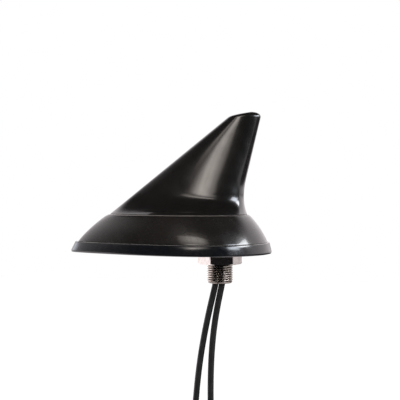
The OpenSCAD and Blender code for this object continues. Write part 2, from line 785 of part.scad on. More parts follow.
// Rubber plug low in the stud's bore, with one oval hole for both leads
module stud_grommet() {
  front_x = front_route[8][0];
  rear_x = rear_route[8][0];
  hole_r = lead_d / 2 + bore_gap;
  color("#202022")
    translate([0, 0, grommet_up - stud_reach])
      linear_extrude(grommet_h)
        difference() {
          circle(r = stud_bore_d / 2 - bore_gap);
          for (x = [front_x, rear_x])
            translate([x, 0])
              circle(r = hole_r);
          translate([front_x, -hole_r])
            square([rear_x - front_x, 2 * hole_r]);
        }
}

// Main circuit board
module main_board() {
  color("#1f5b3a")
    translate([0, 0, board_z])
      linear_extrude(board_t)
        difference() {
          board_plan();
          translate([-patch_front, 0])
            circle(r = pin_r + bore_gap);
        }
}

// Chips on the main board: two under the can, and a large and a small one on the other side
module board_chips() {
  can_mid = can_side + can_w / 2;
  large_x = -can_rear - chip_side / 2;
  color("#222224")
    for (chip = [
      [-can_rear - can_l * 0.28, can_mid, small_chip_side],
      [-can_rear - can_l * 0.72, can_mid, small_chip_side],
      [large_x, -chip_off, chip_side],
      [large_x - chip_side, -chip_off, small_chip_side]
    ])
      translate([chip[0] - chip[2] / 2, chip[1] - chip[2] / 2, board_top])
        cube([chip[2], chip[2], chip_h]);
}

// Ceramic block of the patch aerial, with its feed hole
module patch_block() {
  color("#d9cdb4")
    translate([-patch_front, 0, board_top])
      linear_extrude(patch_t)
        difference() {
          square(patch_side, center = true);
          circle(r = pin_r + bore_gap);
        }
}

// Silver electrode on the patch aerial, with two trimmed corners
module patch_electrode() {
  half = patch_side / 2 - patch_rim;
  color("#d4d4d2")
    translate([-patch_front, 0, board_top + patch_t])
      linear_extrude(foil_t)
        difference() {
          polygon([
            [-half, -half], [half - patch_trim, -half], [half, patch_trim - half], [half, half],
            [patch_trim - half, half], [-half, half - patch_trim]
          ]);
          circle(r = pin_r + bore_gap);
        }
}

// Feed pin through the patch aerial and the board, with a low round head
module patch_pin() {
  color("#c8b27a")
    translate([-patch_front, 0, board_z - pin_r]) {
      cylinder(r = pin_r, h = pin_r + board_t + patch_t + foil_t + pin_r);
      translate([0, 0, pin_r + board_t + patch_t + foil_t])
        cylinder(r = 2 * pin_r, h = pin_r);
    }
}

// Folded shielding can over the amplifier, open underneath, with vent holes
module shield_can() {
  color("#bfc1c2")
    translate([-can_rear - can_l, can_side, board_top])
      difference() {
        cube([can_l, can_w, can_h]);
        translate([can_t, can_t, -cut])
          cube([can_l - 2 * can_t, can_w - 2 * can_t, can_h - can_t + cut]);
        for (x = [0.25, 0.5, 0.75], y = [0.3, 0.7])
          translate([can_l * x, can_w * y, can_h / 2])
            cylinder(r = vent_r, h = can_h);
      }
}

// Level of the fin's ridge above a place on the middle plane
function ridge_z(x) = seam_z + (x + fin_foot[0]) * tan(lead_angle);
fin_board_bend = fin_board_rear - fin_board_top;
fin_board_peak = ridge_z(fin_board_bend) - fin_board_room;
fin_board_low = ridge_z(-fin_board_front) - fin_board_room;

// Stands a drawing in X and Z up on the middle plane, from y to y + thick
module stood_up(y, thick) {
  translate([0, y + thick, 0])
    rotate([90, 0, 0])
      linear_extrude(thick)
        children();
}

// Upright board that carries the broadcast radiator, arched over the leads
module fin_board() {
  front = -fin_board_front;
  rear = fin_board_rear;
  arch_z = board_top + fin_board_arch;
  slant = fin_board_foot / 2;
  color("#1f5b3a")
    stood_up(-board_t / 2, board_t)
      polygon([
        [front, board_top], [front, fin_board_low], [fin_board_bend, fin_board_peak], [rear, fin_board_peak],
        [rear, board_top], [rear - fin_board_foot, board_top], [rear - fin_board_foot, arch_z - slant],
        [rear - fin_board_foot - slant, arch_z], [front + fin_board_foot + slant, arch_z],
        [front + fin_board_foot, arch_z - slant], [front + fin_board_foot, board_top]
      ]);
}

// Copper track that folds to and fro up the upright board
module fin_radiator() {
  low = coil_z + coil_half + fit_gap;
  left = track_edge - fin_board_front;
  right = fin_board_rear - track_edge;
  slope_z = fin_board_low - hat_side - track_w;
  rows = 1 + floor((slope_z + (right - 3 * track_w - left) * tan(lead_angle) - low) / track_pitch);
  color("#b8693a")
    stood_up(-board_t / 2 - track_t, track_t)
      for (i = [0:rows - 1]) {
        z = low + i * track_pitch;
        x = max(left, left + (z - slope_z) / tan(lead_angle));
        next = max(left, left + (z + track_pitch - slope_z) / tan(lead_angle));
        translate([x, z])
          square([right - x, track_w]);
        if (i < rows - 1)
          translate([i % 2 == 0 ? right - track_w : next, z])
            square([track_w, track_pitch + track_w]);
      }
}

// Folded top plate that caps the upright board's sloping edge
module top_plate() {
  run = (fin_board_bend + fin_board_front) / cos(lead_angle);
  color("#c7c4bd")
    translate([-fin_board_front, 0, fin_board_low])
      rotate([0, -lead_angle, 0])
        translate([hat_t, 0, 0]) {
          translate([0, -hat_half_w, 0])
            cube([run - 2 * hat_t, 2 * hat_half_w, hat_t]);
          for (y = [-hat_half_w, hat_half_w - hat_t])
            translate([0, y, -hat_side])
              cube([run - 2 * hat_t, hat_t, hat_side + hat_t]);
        }
}

// Foam pad that keeps the upright board from rattling in the fin
module foam_pad() {
  color("#3a3a3c")
    translate([-foam_l * 0.7, board_t / 2, mix(board_top, fin_board_peak, 0.45)])
      cube([foam_l, foam_t, foam_h]);
}

// Square-ended bobbin on the upright board's face
module coil_former() {
  color("#2a2a2c")
    translate([-coil_front, -board_t / 2 - coil_half, coil_z])
      rotate([0, 90, 0])
        difference() {
          union() {
            for (z = [0, coil_l - coil_end_t])
              translate([-coil_half, -coil_half, z])
                cube([2 * coil_half, 2 * coil_half, coil_end_t]);
            cylinder(r = coil_core_r, h = coil_l);
          }
          translate([0, 0, -cut])
            cylinder(r = coil_hole_r, h = coil_l + 2 * cut);
        }
}

// Copper winding on the bobbin, one rounded ridge for each turn
module coil_winding() {
  start = coil_end_t + coil_end_gap;
  long = coil_l - 2 * start;
  turns = floor(long / coil_wire);
  inner = coil_core_r + bore_gap;
  outer = inner + coil_wire * 1.3;
  color("#b8693a")
    translate([-coil_front, -board_t / 2 - coil_half, coil_z])
      rotate([0, 90, 0])
        rotate_extrude()
          difference() {
            translate([inner, start])
              square([outer - inner, long]);
            for (i = [0:turns])
              translate([outer + coil_wire * 0.2, start + i * long / turns])
                rotate(45)
                  square(coil_wire * 0.6, center = true);
          }
}

// A screw standing on its head at the origin, with a cross recess
module screw(shank_r, head_r, head_h, length) {
  tip = shank_r * 0.8;
  difference() {
    union() {
      cylinder(r = head_r, h = head_h);
      translate([0, 0, head_h])
        cylinder(r = shank_r, h = length - tip);
      translate([0, 0, head_h + length - tip])
        cylinder(r1 = shank_r, r2 = shank_r / 2, h = tip);
    }
    for (turn = [0, 90])
      rotate([0, 0, turn])
        translate([-head_r * 0.55, -recess_w / 2, -cut])
          cube([head_r * 1.1, recess_w, cut + head_h * 0.6]);
  }
}

// Screws that hold the main board down on the base plate's pillars
module board_screws() {
  color("#b9bbbd")
    for (p = board_screw_at)
      translate([p[0], p[1], board_top + board_head_h])
        rotate([180, 0, 0])
          screw(board_screw_r, board_head_r, board_head_h, board_t + board_screw_bite);
}

// Screws from underneath at the given places, into the posts of a moulding
module case_screws(places) {
  color("#8f9193")
    for (p = places)
      translate([p[0], p[1], plate_z + fit_gap])
        screw(case_screw_r, case_head_r, case_head_h, plate_t - case_head_h - fit_gap + case_screw_bite);
}

// Screws that hold the skirt to the base plate
module skirt_screws() {
  case_screws(skirt_screw_at);
}

// Screws that hold the fin to the base plate
module cover_screws() {
  case_screws(cover_screw_at);
}

// Two soldered clips that hold the leads' screens on the main board
module lead_clips() {
  lead_z = front_route[0][2];
  color("#c8b27a")
    for (y = [front_route[0][1], rear_route[0][1]])
      translate([front_route[0][0] + clip_over - clip_l, y, 0])
        difference() {
          union() {
            translate([0, 0, lead_z])
              rotate([0, 90, 0])
                cylinder(r = lead_d / 2 + clip_wall, h = clip_l);
            translate([0, -lead_d / 2, board_top])
              cube([clip_l, lead_d, lead_z - board_top]);
          }
          translate([-cut, 0, lead_z])
            rotate([0, 90, 0])
              cylinder(r = lead_d / 2 + bore_gap, h = clip_l + 2 * cut);
        }
}

// A vector's direction
function unit(v) = v / norm(v);

// A point between route points b and c at share t, on a smooth curve that also heeds a and d
function between(a, b, c, d, t) =
  0.5 * (2 * b + (c - a) * t + (2 * a - 5 * b + 4 * c - d) * t * t + (3 * b - a - 3 * c + d) * t * t * t);

// A route with two more points in each step
function smooth(p) =
  let (last = len(p) - 1)
  concat(
    [
      for (i = [0:last - 1], t = [0, 1 / 2])
        between(p[max(i - 1, 0)], p[i], p[i + 1], p[min(i + 2, last)], t)
    ],
    [p[last]]
  );

// A tube of 8 sides swept along a route
module lead(route) {
  path = smooth(route);
  last = len(path) - 1;
  rings = [
    for (i = [0:last])
      let (along = unit(path[min(i + 1, last)] - path[max(i - 1, 0)]))
      let (u = unit(cross(along, [0, 1, 0])), v = cross(along, u))
      [for (s = [0:7]) path[i] + lead_d / 2 * (cos(45 * s) * u + sin(45 * s) * v)]
  ];
  skin(rings);
}

// The lead that leaves the stud nearer the nose
module front_lead() {
  color("#1c1c1d")
    lead(front_route);
}

// The lead that leaves the stud nearer the tail
module rear_lead() {
  color("#1c1c1d")
    lead(rear_route);
}

// Crimped sleeve round a lead, on top of its plug
module plug_sleeve(route) {
  end = route[len(route) - 1];
  color("#b9b4a6")
    translate([end[0], end[1], end[2] + plug_back])
      difference() {
        cylinder(r = lead_d / 2 + sleeve_wall, h = sleeve_l);
        translate([0, 0, -cut])
          cylinder(r = lead_d / 2 + bore_gap, h = sleeve_l + 2 * cut);
      }
}

// A square with quarter-round corners
module round_square(side, r) {
  square([side, side - 2 * r], center = true);
  square([side - 2 * r, side], center = true);
  for (x = [-1, 1], y = [-1, 1])
    translate([x * (side / 2 - r), y * (side / 2 - r)])
      circle(r = r);
}

// Moulded plug housing, with a socket below, a keyed side and a latch tongue
module plug_body(route) {
  end = route[len(route) - 1];
  color("#202124")
    translate([end[0], end[1], end[2] + plug_back - plug_l])
      difference() {
        union() {
          linear_extrude(plug_l)
            round_square(plug_w, plug_round);
          for (x = [-key_pitch / 2, key_pitch / 2])
            translate([x - key_w / 2, 0, 0])
              cube([key_w, plug_w / 2 + key_h, plug_l * 0.74]);
          translate([-latch_w / 2, -plug_w / 2 - latch_h, plug_l * 0.32])
            cube([latch_w, plug_w / 2 + latch_h, plug_l * 0.52]);
        }
        translate([0, 0, -cut])
          cylinder(r = plug_w / 2 - plug_wall, h = plug_mouth + cut);
        translate([0, 0, -cut])
          cylinder(r = contact_r + bore_gap, h = plug_l - plug_back + cut);
        translate([0, 0, plug_l - plug_back - cut])
          cylinder(r = lead_d / 2 + bore_gap, h = plug_back + 2 * cut);
      }
}

// Metal contact of a plug: a tube, a disc against the lead's end, and a centre pin
module plug_contact(route) {
  end = route[len(route) - 1];
  deep = plug_l - plug_back - contact_in;
  color("#c8b27a")
    translate([end[0], end[1], end[2] - deep]) {
      translate([0, 0, deep - contact_disc])
        cylinder(r = contact_r, h = contact_disc);
      cylinder(r = contact_pin_r, h = deep);
      difference() {
        cylinder(r = contact_r, h = deep);
        translate([0, 0, -cut])
          cylinder(r = contact_r - contact_wall, h = deep - contact_disc + cut);
      }
    }
}

module front_plug_sleeve() {
  plug_sleeve(front_route);
}

module front_plug_body() {
  plug_body(front_route);
}

module front_plug_contact() {
  plug_contact(front_route);
}

module rear_plug_sleeve() {
  plug_sleeve(rear_route);
}

module rear_plug_body() {
  plug_body(rear_route);
}

module rear_plug_contact() {
  plug_contact(rear_route);
}

fin_cover();
skirt_shell();
base_gasket();
base_plate();
roof_stud();
fixing_nut();
stud_grommet();
main_board();
board_chips();
patch_block();
patch_electrode();
patch_pin();
shield_can();
fin_board();
fin_radiator();
top_plate();
foam_pad();
coil_former();
coil_winding();
board_screws();
skirt_screws();
cover_screws();
lead_clips();
front_lead();
rear_lead();
front_plug_sleeve();
front_plug_body();
front_plug_contact();
rear_plug_sleeve();
rear_plug_body();
rear_plug_contact();
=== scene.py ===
# Shark fin roof aerial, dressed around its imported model
import json
import math

import bpy
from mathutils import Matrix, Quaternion, Vector

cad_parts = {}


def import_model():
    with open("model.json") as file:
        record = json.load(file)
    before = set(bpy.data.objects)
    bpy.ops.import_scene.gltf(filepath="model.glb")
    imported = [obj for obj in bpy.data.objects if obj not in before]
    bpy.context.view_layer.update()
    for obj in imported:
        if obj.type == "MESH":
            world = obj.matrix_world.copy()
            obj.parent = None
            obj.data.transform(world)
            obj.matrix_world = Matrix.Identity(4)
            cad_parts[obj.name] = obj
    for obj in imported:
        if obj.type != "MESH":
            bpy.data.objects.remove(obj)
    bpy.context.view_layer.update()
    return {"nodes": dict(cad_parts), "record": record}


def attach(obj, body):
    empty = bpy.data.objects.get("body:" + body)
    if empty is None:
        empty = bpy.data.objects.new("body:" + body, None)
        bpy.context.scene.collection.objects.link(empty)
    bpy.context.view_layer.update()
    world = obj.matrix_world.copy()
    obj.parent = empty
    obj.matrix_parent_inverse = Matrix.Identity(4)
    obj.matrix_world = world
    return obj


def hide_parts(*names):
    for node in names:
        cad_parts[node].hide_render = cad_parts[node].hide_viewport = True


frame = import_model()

# Sizes below are in millimetres, as in the part's source, and MM turns them into metres
MM = 0.001

# Camera, placed from the photograph's perspective
CAMERA_AT = (88.4, -576.9, 36.3)
CAMERA_AIM = (-10.7, -1.64, 28.8)
LENS = 96.6
SENSOR = 36.0
CLIP_START = 0.01

# Levels of the housing
RIM_H = 5.8
SKIRT_H = 15.1
SEAM_Z = RIM_H + SKIRT_H
FIN_H = 55.6
CROWN_H = 3.1
CROWN_Z = SEAM_Z + FIN_H - CROWN_H

# Outlines at the foot and the seam: reach to the nose, reach to the tail, half width, and egg, which moves
# the widest place towards the tail
BASE = (83.6, 28.0, 37.8, 0.53)
SEAM = (62.5, 15.7, 27.7, 0.34)

# The rubber rim: how far it draws in at nose, tail and sides, the shares of that which its wall takes, the
# bulge of its sides, its shoulder, and the height and corners of its lip. Then the tray inside it
RIM_LEAN = (2.5, 1.4, 1.7)
RIM_SLANT = (0.95, 0.8, 0.4)
RIM_BULGE = 0.65
RIM_BULGE_POWER = 5
RIM_SHOULDER = 0.2
RIM_LIP = 1.0
RIM_CORNER = (0.15, 0.2, 0.9)
GASKET_FLOOR = 2.0
HOLE_R = 13.5

# The skirt: how far it stands in on the rim, its wall, the sag of its slopes, its flange, its rounded top
# edge with the angles that draw it, and the ledge between that edge and the fin
LEDGE = (1.5, 0.8, 1.1)
SKIRT_WALL = 3.0
BOW_FRONT = 0.29
BOW_REAR = 0.41
FLANGE_W = 4.5
FLANGE_T = 2.0
SKIRT_EDGE = 0.35
EDGE_TURNS = (10, 25, 40, 55)
LEDGE_DROP = 0.12
SEAM_STEP = 1.0

# The fin: where its tip starts and ends, and the flare of its foot
TIP_FRONT = 4.2
TIP_REAR = 22.2
TAIL_FLARE = 5.1
TAIL_FLARE_H = 20.2
TAIL_FLARE_POWER = 2.4
SIDE_FLARE_H = 11.5
SIDE_FLARE_POWER = 2.8
# Its egg at the top of the flare and at the tip, and its half widths above the flare
WAIST_EGG = 0.4
TIP_EGG = -0.22
BODY_HALF_W = 14.0
BODY_POWER = 1.1
TIP_HALF_W = 5.4
# The crown, which draws in from front and rear to a ridge
CROWN_REAR = 5.7
CROWN_RIDGE = 2.8
CROWN_POWER = 2.3
CROWN_LEAST = 0.06
# Its wall, the foot of its inner face, and the tongue that sits in the skirt
FIN_WALL = 2.2
FIN_INSIDE_FOOT = 3
TONGUE_T = 1.4
TONGUE_H = 2.3
FIT_GAP = 0.3

# Small steps of the housing's edges and grooves, as pairs: drawn in from an outline, and up or down
FIN_EDGE = ((0.5, 0.05), (0.15, 0.09), (0.03, 0.2))
FIN_EDGE_H = 0.35
TONGUE_ROOT = 0.05
SKIRT_FOOT_EDGE = ((1.2, 0.02), (0.35, 0.04), (0.1, 0.16))
SEAM_GROOVE = ((-0.08, 0.04), (0, 0.3), (0.5, 0.3), (0.6, 0))
HOLE_GROOVE = ((0, 0.0), (1.5, 0.0), (1.7, 0.5), (2.5, 0.5), (2.7, 0.0))
BASE_GROOVES = (
    (9.0, 0.0), (8.8, 0.5), (8.0, 0.5), (7.8, 0.0), (6.4, 0.0), (6.2, 0.5), (5.4, 0.5), (5.2, 0.0),
)

# The skirt's walls, as shares of its height: the outer one's start and span, and the inner one's top
SKIRT_START = 0.025
SKIRT_SPAN = 0.915
SKIRT_INSIDE_TOP = 0.85

# Rear face of the fin: the angle of its corners, in degrees, and its bow as a share of the half width
FOOT_CORNER = 22.5
TIP_CORNER = 40.0
FOOT_BOW = 0.08
TIP_BOW = 0.28

# Stud and nut
STUD_R = 7.0
BORE_R = 4.75
STUD_REACH = 16.3
STUD_CHAMFER = 0.9
STUD_HEAD_R = 9.4
STUD_HEAD_FLATS = 16.4
STUD_HEAD_Z = 4.0
STUD_HEAD_TOP = 6.4
STUD_HEAD_EDGE = 0.2
BORE_FLARE = 3.4
BORE_END = (0.5, 0.6)
THREAD_PITCH = 1.25
THREAD_DEPTH = 0.75
THREAD_CREST = 0.4
THREAD_FLANK = 0.5
THREAD_STOP = 4.0
THREAD_RUN_OUT = 1.0
NUT_FLATS = 21.0
NUT_CORNER_CUT = 0.12
NUT_H = 5.0
NUT_Z = -6.0
NUT_EDGE = 0.9
NUT_LEAD_IN = 1.0
NUT_TURN = 14.0
BORE_GAP = 0.12
NEARLY_0 = 0.001

# Leads, with the same route points as in the part's source
LEAD_D = 3.4
FRONT_ROUTE = [
    (-11, -3, 10.9), (-9.6, -3, 10.9), (-6.7, -2.9, 10.3), (-4.3, -2.6, 8.7), (-2.7, -2.1, 6.3),
    (-2.1, -1.5, 3.4), (-2.1, -0.8, 0), (-2.1, -0.3, -4), (-2.1, 0, -8), (-2.1, 0, -13),
    (-2.5, 0, -17), (-3.6, 0, -22), (-5, 0, -28), (-6.8, 0, -36), (-8.8, 0, -46), (-10.8, 0, -58),
    (-12.5, 0, -72), (-13.8, 0, -88), (-14.6, 0, -105), (-15, 0, -123), (-15, 0, -140), (-15, 0, -156),
]
REAR_ROUTE = [
    (-11, 3, 10.9), (-6.1, 3, 10.9), (-3.2, 2.9, 10.3), (-0.8, 2.6, 8.7), (0.8, 2.1, 6.3),
    (1.4, 1.5, 3.4), (1.4, 0.8, 0), (1.4, 0.3, -4), (1.4, 0, -8), (1.4, 0, -13),
    (1.1, 0, -17), (0.1, 0, -22), (-1.1, 0, -28), (-2.5, 0, -36), (-3.8, 0, -46), (-4.7, 0, -58),
    (-5.1, 0, -72), (-5, 0, -88), (-4.6, 0, -105), (-4.2, 0, -123),
    (-4, 0, -142), (-4, 0, -160), (-4, 0, -176),
]

# Boots above the plugs
BOOT_SPAN = (9.2, 21.0)
BOOT_R = (2.75, 2.05)
BOOT_GAP = 0.02
BOOT_RIBS = 6
BOOT_RIB_H = 0.22

# Points round an outline, and steps from the middle of the fin's rear face to its corner
OUTLINE_N = 288
FACE_N = 18
# Points round each of the other pieces
TUBE_N = 24
BOOT_N = 48
STUD_N = 120
NUT_N = 6 * 24
# Steps from one route point to the next, over a rib, a turn of thread, a wall, a rounded edge and a chamfer
ROUTE_STEPS = 6
RIB_STEPS = 8
STUD_TURN_STEPS = 14
NUT_TURN_STEPS = 10
WALL_STEPS = 40
FIN_INSIDE_STEPS = 30
SKIRT_INSIDE_STEPS = 16
RIM_STEPS = 20
CROWN_STEPS = 20
EDGE_STEPS = 8
CHAMFER_STEPS = 10
# Rings stand closer together near the fin's foot
RING_POWER = 1.15


def clamp(value):
    """The number, kept from 0 to 1."""
    return max(0.0, min(1.0, value))


def mix(a, b, t):
    """The number a share t of the way from a to b."""
    return a + (b - a) * t


def steps_to(count, first=0):
    """Shares from 0, or from a first step, up to 1."""
    return [i / count for i in range(first, count + 1)]


def add_piece(name, verts, faces, look, sharp=30):
    """A mesh object from points in millimetres, riding on the one body and a material."""
    mesh = bpy.data.meshes.new(name)
    mesh.from_pydata([(x * MM, y * MM, z * MM) for x, y, z in verts], [], faces)
    mesh.validate()
    mesh.shade_smooth()
    mesh.set_sharp_from_angle(angle=math.radians(sharp))
    mesh.materials.append(look)
    piece = bpy.data.objects.new(name, mesh)
    bpy.context.collection.objects.link(piece)
    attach(piece, "root")
    return piece


def camera():
    data = bpy.data.cameras.new("camera")
    data.lens = LENS
    data.sensor_width = SENSOR
    data.clip_start = CLIP_START
    cam = bpy.data.objects.new("camera", data)
    bpy.context.collection.objects.link(cam)
    cam.location = Vector(CAMERA_AT) * MM
    look = (Vector(CAMERA_AIM) - Vector(CAMERA_AT)).normalized()
    cam.rotation_euler = look.to_track_quat("-Z", "Y").to_euler()
    bpy.context.scene.camera = cam


camera()


# Materials

COAT_ROUGH = 0.05
# Roughness varies this many times as finely as colour
ROUGH_FINER = 3
GRAIN_DETAIL = 2.0
PEEL_DETAIL = 1.0
# Painted highlights: the skirt turns pale between these depths below the seam, and the rim over this height
# at its top edge, standing in for light caught on those edges
SKIRT_HIGHLIGHT = (0.26, 0.16)
RIM_HIGHLIGHT = 0.05
# Between these shares of its depth the painted shade in the thread's roots fades out
ROOT_SHADE_SHARES = (0.75, 0.35)
BOARD_SCALE = 260.0
BOARD_MOTTLE = 400.0
BOARD_GAP = 0.06
BOARD_TONES = {"Color1": (0.011, 0.1, 0.04), "Color2": (0.014, 0.125, 0.05), "Mortar": (0.02, 0.2, 0.08)}
BOARD_ROUGH = (0.26, 0.42)
BOARD_RELIEF = 0.00003
# The part of a noise's range that holds nearly all of it
NOISE_SPAN = (0.35, 0.65)


def new_material(name):
    mat = bpy.data.materials.new(name)
    mat.use_nodes = True
    nodes = mat.node_tree.nodes
    shader = nodes["Principled BSDF"]
    return mat, nodes, mat.node_tree.links, shader


def noise(nodes, links, scale, detail=3.0, stretch=None):
    """A noise over the object's own coordinates, in metres, stretched along an axis if asked."""
    where = nodes.new("ShaderNodeTexCoord")
    tex = nodes.new("ShaderNodeTexNoise")
    tex.inputs["Scale"].default_value = scale
    tex.inputs["Detail"].default_value = detail
    if stretch is None:
        links.new(where.outputs["Object"], tex.inputs["Vector"])
    else:
        squeeze = nodes.new("ShaderNodeMapping")
        squeeze.inputs["Scale"].default_value = stretch
        links.new(where.outputs["Object"], squeeze.inputs["Vector"])
        links.new(squeeze.outputs["Vector"], tex.inputs["Vector"])
    return tex.outputs["Fac"]


def spread(nodes, links, fac, low, high, start=NOISE_SPAN[0], end=NOISE_SPAN[1]):
    """Maps a noise, or another number from start to end, to a range of numbers."""
    node = nodes.new("ShaderNodeMapRange")
    node.inputs["From Min"].default_value = start
    node.inputs["From Max"].default_value = end
    node.inputs["To Min"].default_value = low
    node.inputs["To Max"].default_value = high
    links.new(fac, node.inputs["Value"])
    return node.outputs["Result"]


def two_tone(nodes, links, fac, dark, light):
    """Maps a noise to a colour between two near ones."""
    node = nodes.new("ShaderNodeValToRGB")
    first, last = node.color_ramp.elements
    first.position, last.position = NOISE_SPAN
    first.color = (*dark, 1)
    last.color = (*light, 1)
    links.new(fac, node.inputs["Fac"])
    return node.outputs["Color"]


def math_node(nodes, links, operation, a, b):
    node = nodes.new("ShaderNodeMath")
    node.operation = operation
    for socket, value in zip(node.inputs, (a, b)):
        if hasattr(value, "default_value"):
            links.new(value, socket)
        else:
            socket.default_value = value
    return node.outputs["Value"]


def bump(nodes, links, height, distance, after=None):
    """A bump from a height, over another bump if one is given. The distance is in metres."""
    node = nodes.new("ShaderNodeBump")
    node.inputs["Distance"].default_value = distance
    links.new(height, node.inputs["Height"])
    if after is not None:
        links.new(after, node.inputs["Normal"])
    return node.outputs["Normal"]


def toned(nodes, links, fac, colour, tone):
    """Turns a colour into a tone as a number goes from 0 to 1."""
    node = nodes.new("ShaderNodeMix")
    node.data_type = "RGBA"
    before, after = [socket for socket in node.inputs if socket.type == "RGBA"]
    links.new(fac, node.inputs[0])
    links.new(colour, before)
    after.default_value = (*tone, 1)
    return [socket for socket in node.outputs if socket.type == "RGBA"][0]


def place(nodes, links):
    """The coordinates of the point on its object, in metres: x, y and z."""
    where = nodes.new("ShaderNodeTexCoord")
    split = nodes.new("ShaderNodeSeparateXYZ")
    links.new(where.outputs["Object"], split.inputs["Vector"])
    return split.outputs


def surface(
    name, tones, rough, grain, metallic=0.0, mottle=90.0, stretch=None, peel=None, coat=0.0,
    painted_edge_highlight=None, root_shade=None
):
    """A finish with mottled colour, uneven roughness and grain.

    tones are two near colours, rough is a range, grain and peel are (scale, depth), the depth in metres.
    The edge highlight argument is (low, high, tone) for a top edge painted pale as a painted highlight; the
    root shade argument is (inner, outer, tone) for painted shade that darkens the thread's roots.
    """
    mat, nodes, links, shader = new_material(name)
    shader.inputs["Metallic"].default_value = metallic
    shader.inputs["Coat Weight"].default_value = coat
    shader.inputs["Coat Roughness"].default_value = COAT_ROUGH
    colour = two_tone(nodes, links, noise(nodes, links, mottle), *tones)
    # Painted highlight: a band at these heights turns pale
    if painted_edge_highlight is not None:
        edge = spread(nodes, links, place(nodes, links)[2], 0.0, 1.0, painted_edge_highlight[0] * MM, painted_edge_highlight[1] * MM)
        colour = toned(nodes, links, edge, colour, painted_edge_highlight[2])
    # Painted shade: the thread's roots darken the deeper they go
    if root_shade is not None:
        x, y, _ = place(nodes, links)
        squares = [math_node(nodes, links, "POWER", side, 2.0) for side in (x, y)]
        radius = math_node(nodes, links, "SQRT", math_node(nodes, links, "ADD", *squares), 0.0)
        root_shade_mask = spread(nodes, links, radius, 1.0, 0.0, root_shade[0] * MM, root_shade[1] * MM)
        colour = toned(nodes, links, root_shade_mask, colour, root_shade[2])
    links.new(colour, shader.inputs["Base Color"])
    finer = noise(nodes, links, mottle * ROUGH_FINER)
    links.new(spread(nodes, links, finer, *rough), shader.inputs["Roughness"])
    normal = bump(nodes, links, noise(nodes, links, grain[0], GRAIN_DETAIL, stretch), grain[1])
    if peel is not None:
        normal = bump(nodes, links, noise(nodes, links, peel[0], PEEL_DETAIL), peel[1], after=normal)
    links.new(normal, shader.inputs["Normal"])
    return mat


def board():
    """Green circuit board: solder mask over tracks, which show as a fine relief like brickwork."""
    mat, nodes, links, shader = new_material("circuit board")
    where = nodes.new("ShaderNodeTexCoord")
    tracks = nodes.new("ShaderNodeTexBrick")
    tracks.inputs["Scale"].default_value = BOARD_SCALE
    tracks.inputs["Mortar Size"].default_value = BOARD_GAP
    for socket, tone in BOARD_TONES.items():
        tracks.inputs[socket].default_value = (*tone, 1)
    links.new(where.outputs["Object"], tracks.inputs["Vector"])
    links.new(tracks.outputs["Color"], shader.inputs["Base Color"])
    fine = noise(nodes, links, BOARD_MOTTLE)
    links.new(spread(nodes, links, fine, *BOARD_ROUGH), shader.inputs["Roughness"])
    links.new(bump(nodes, links, tracks.outputs["Fac"], BOARD_RELIEF), shader.inputs["Normal"])
    return mat


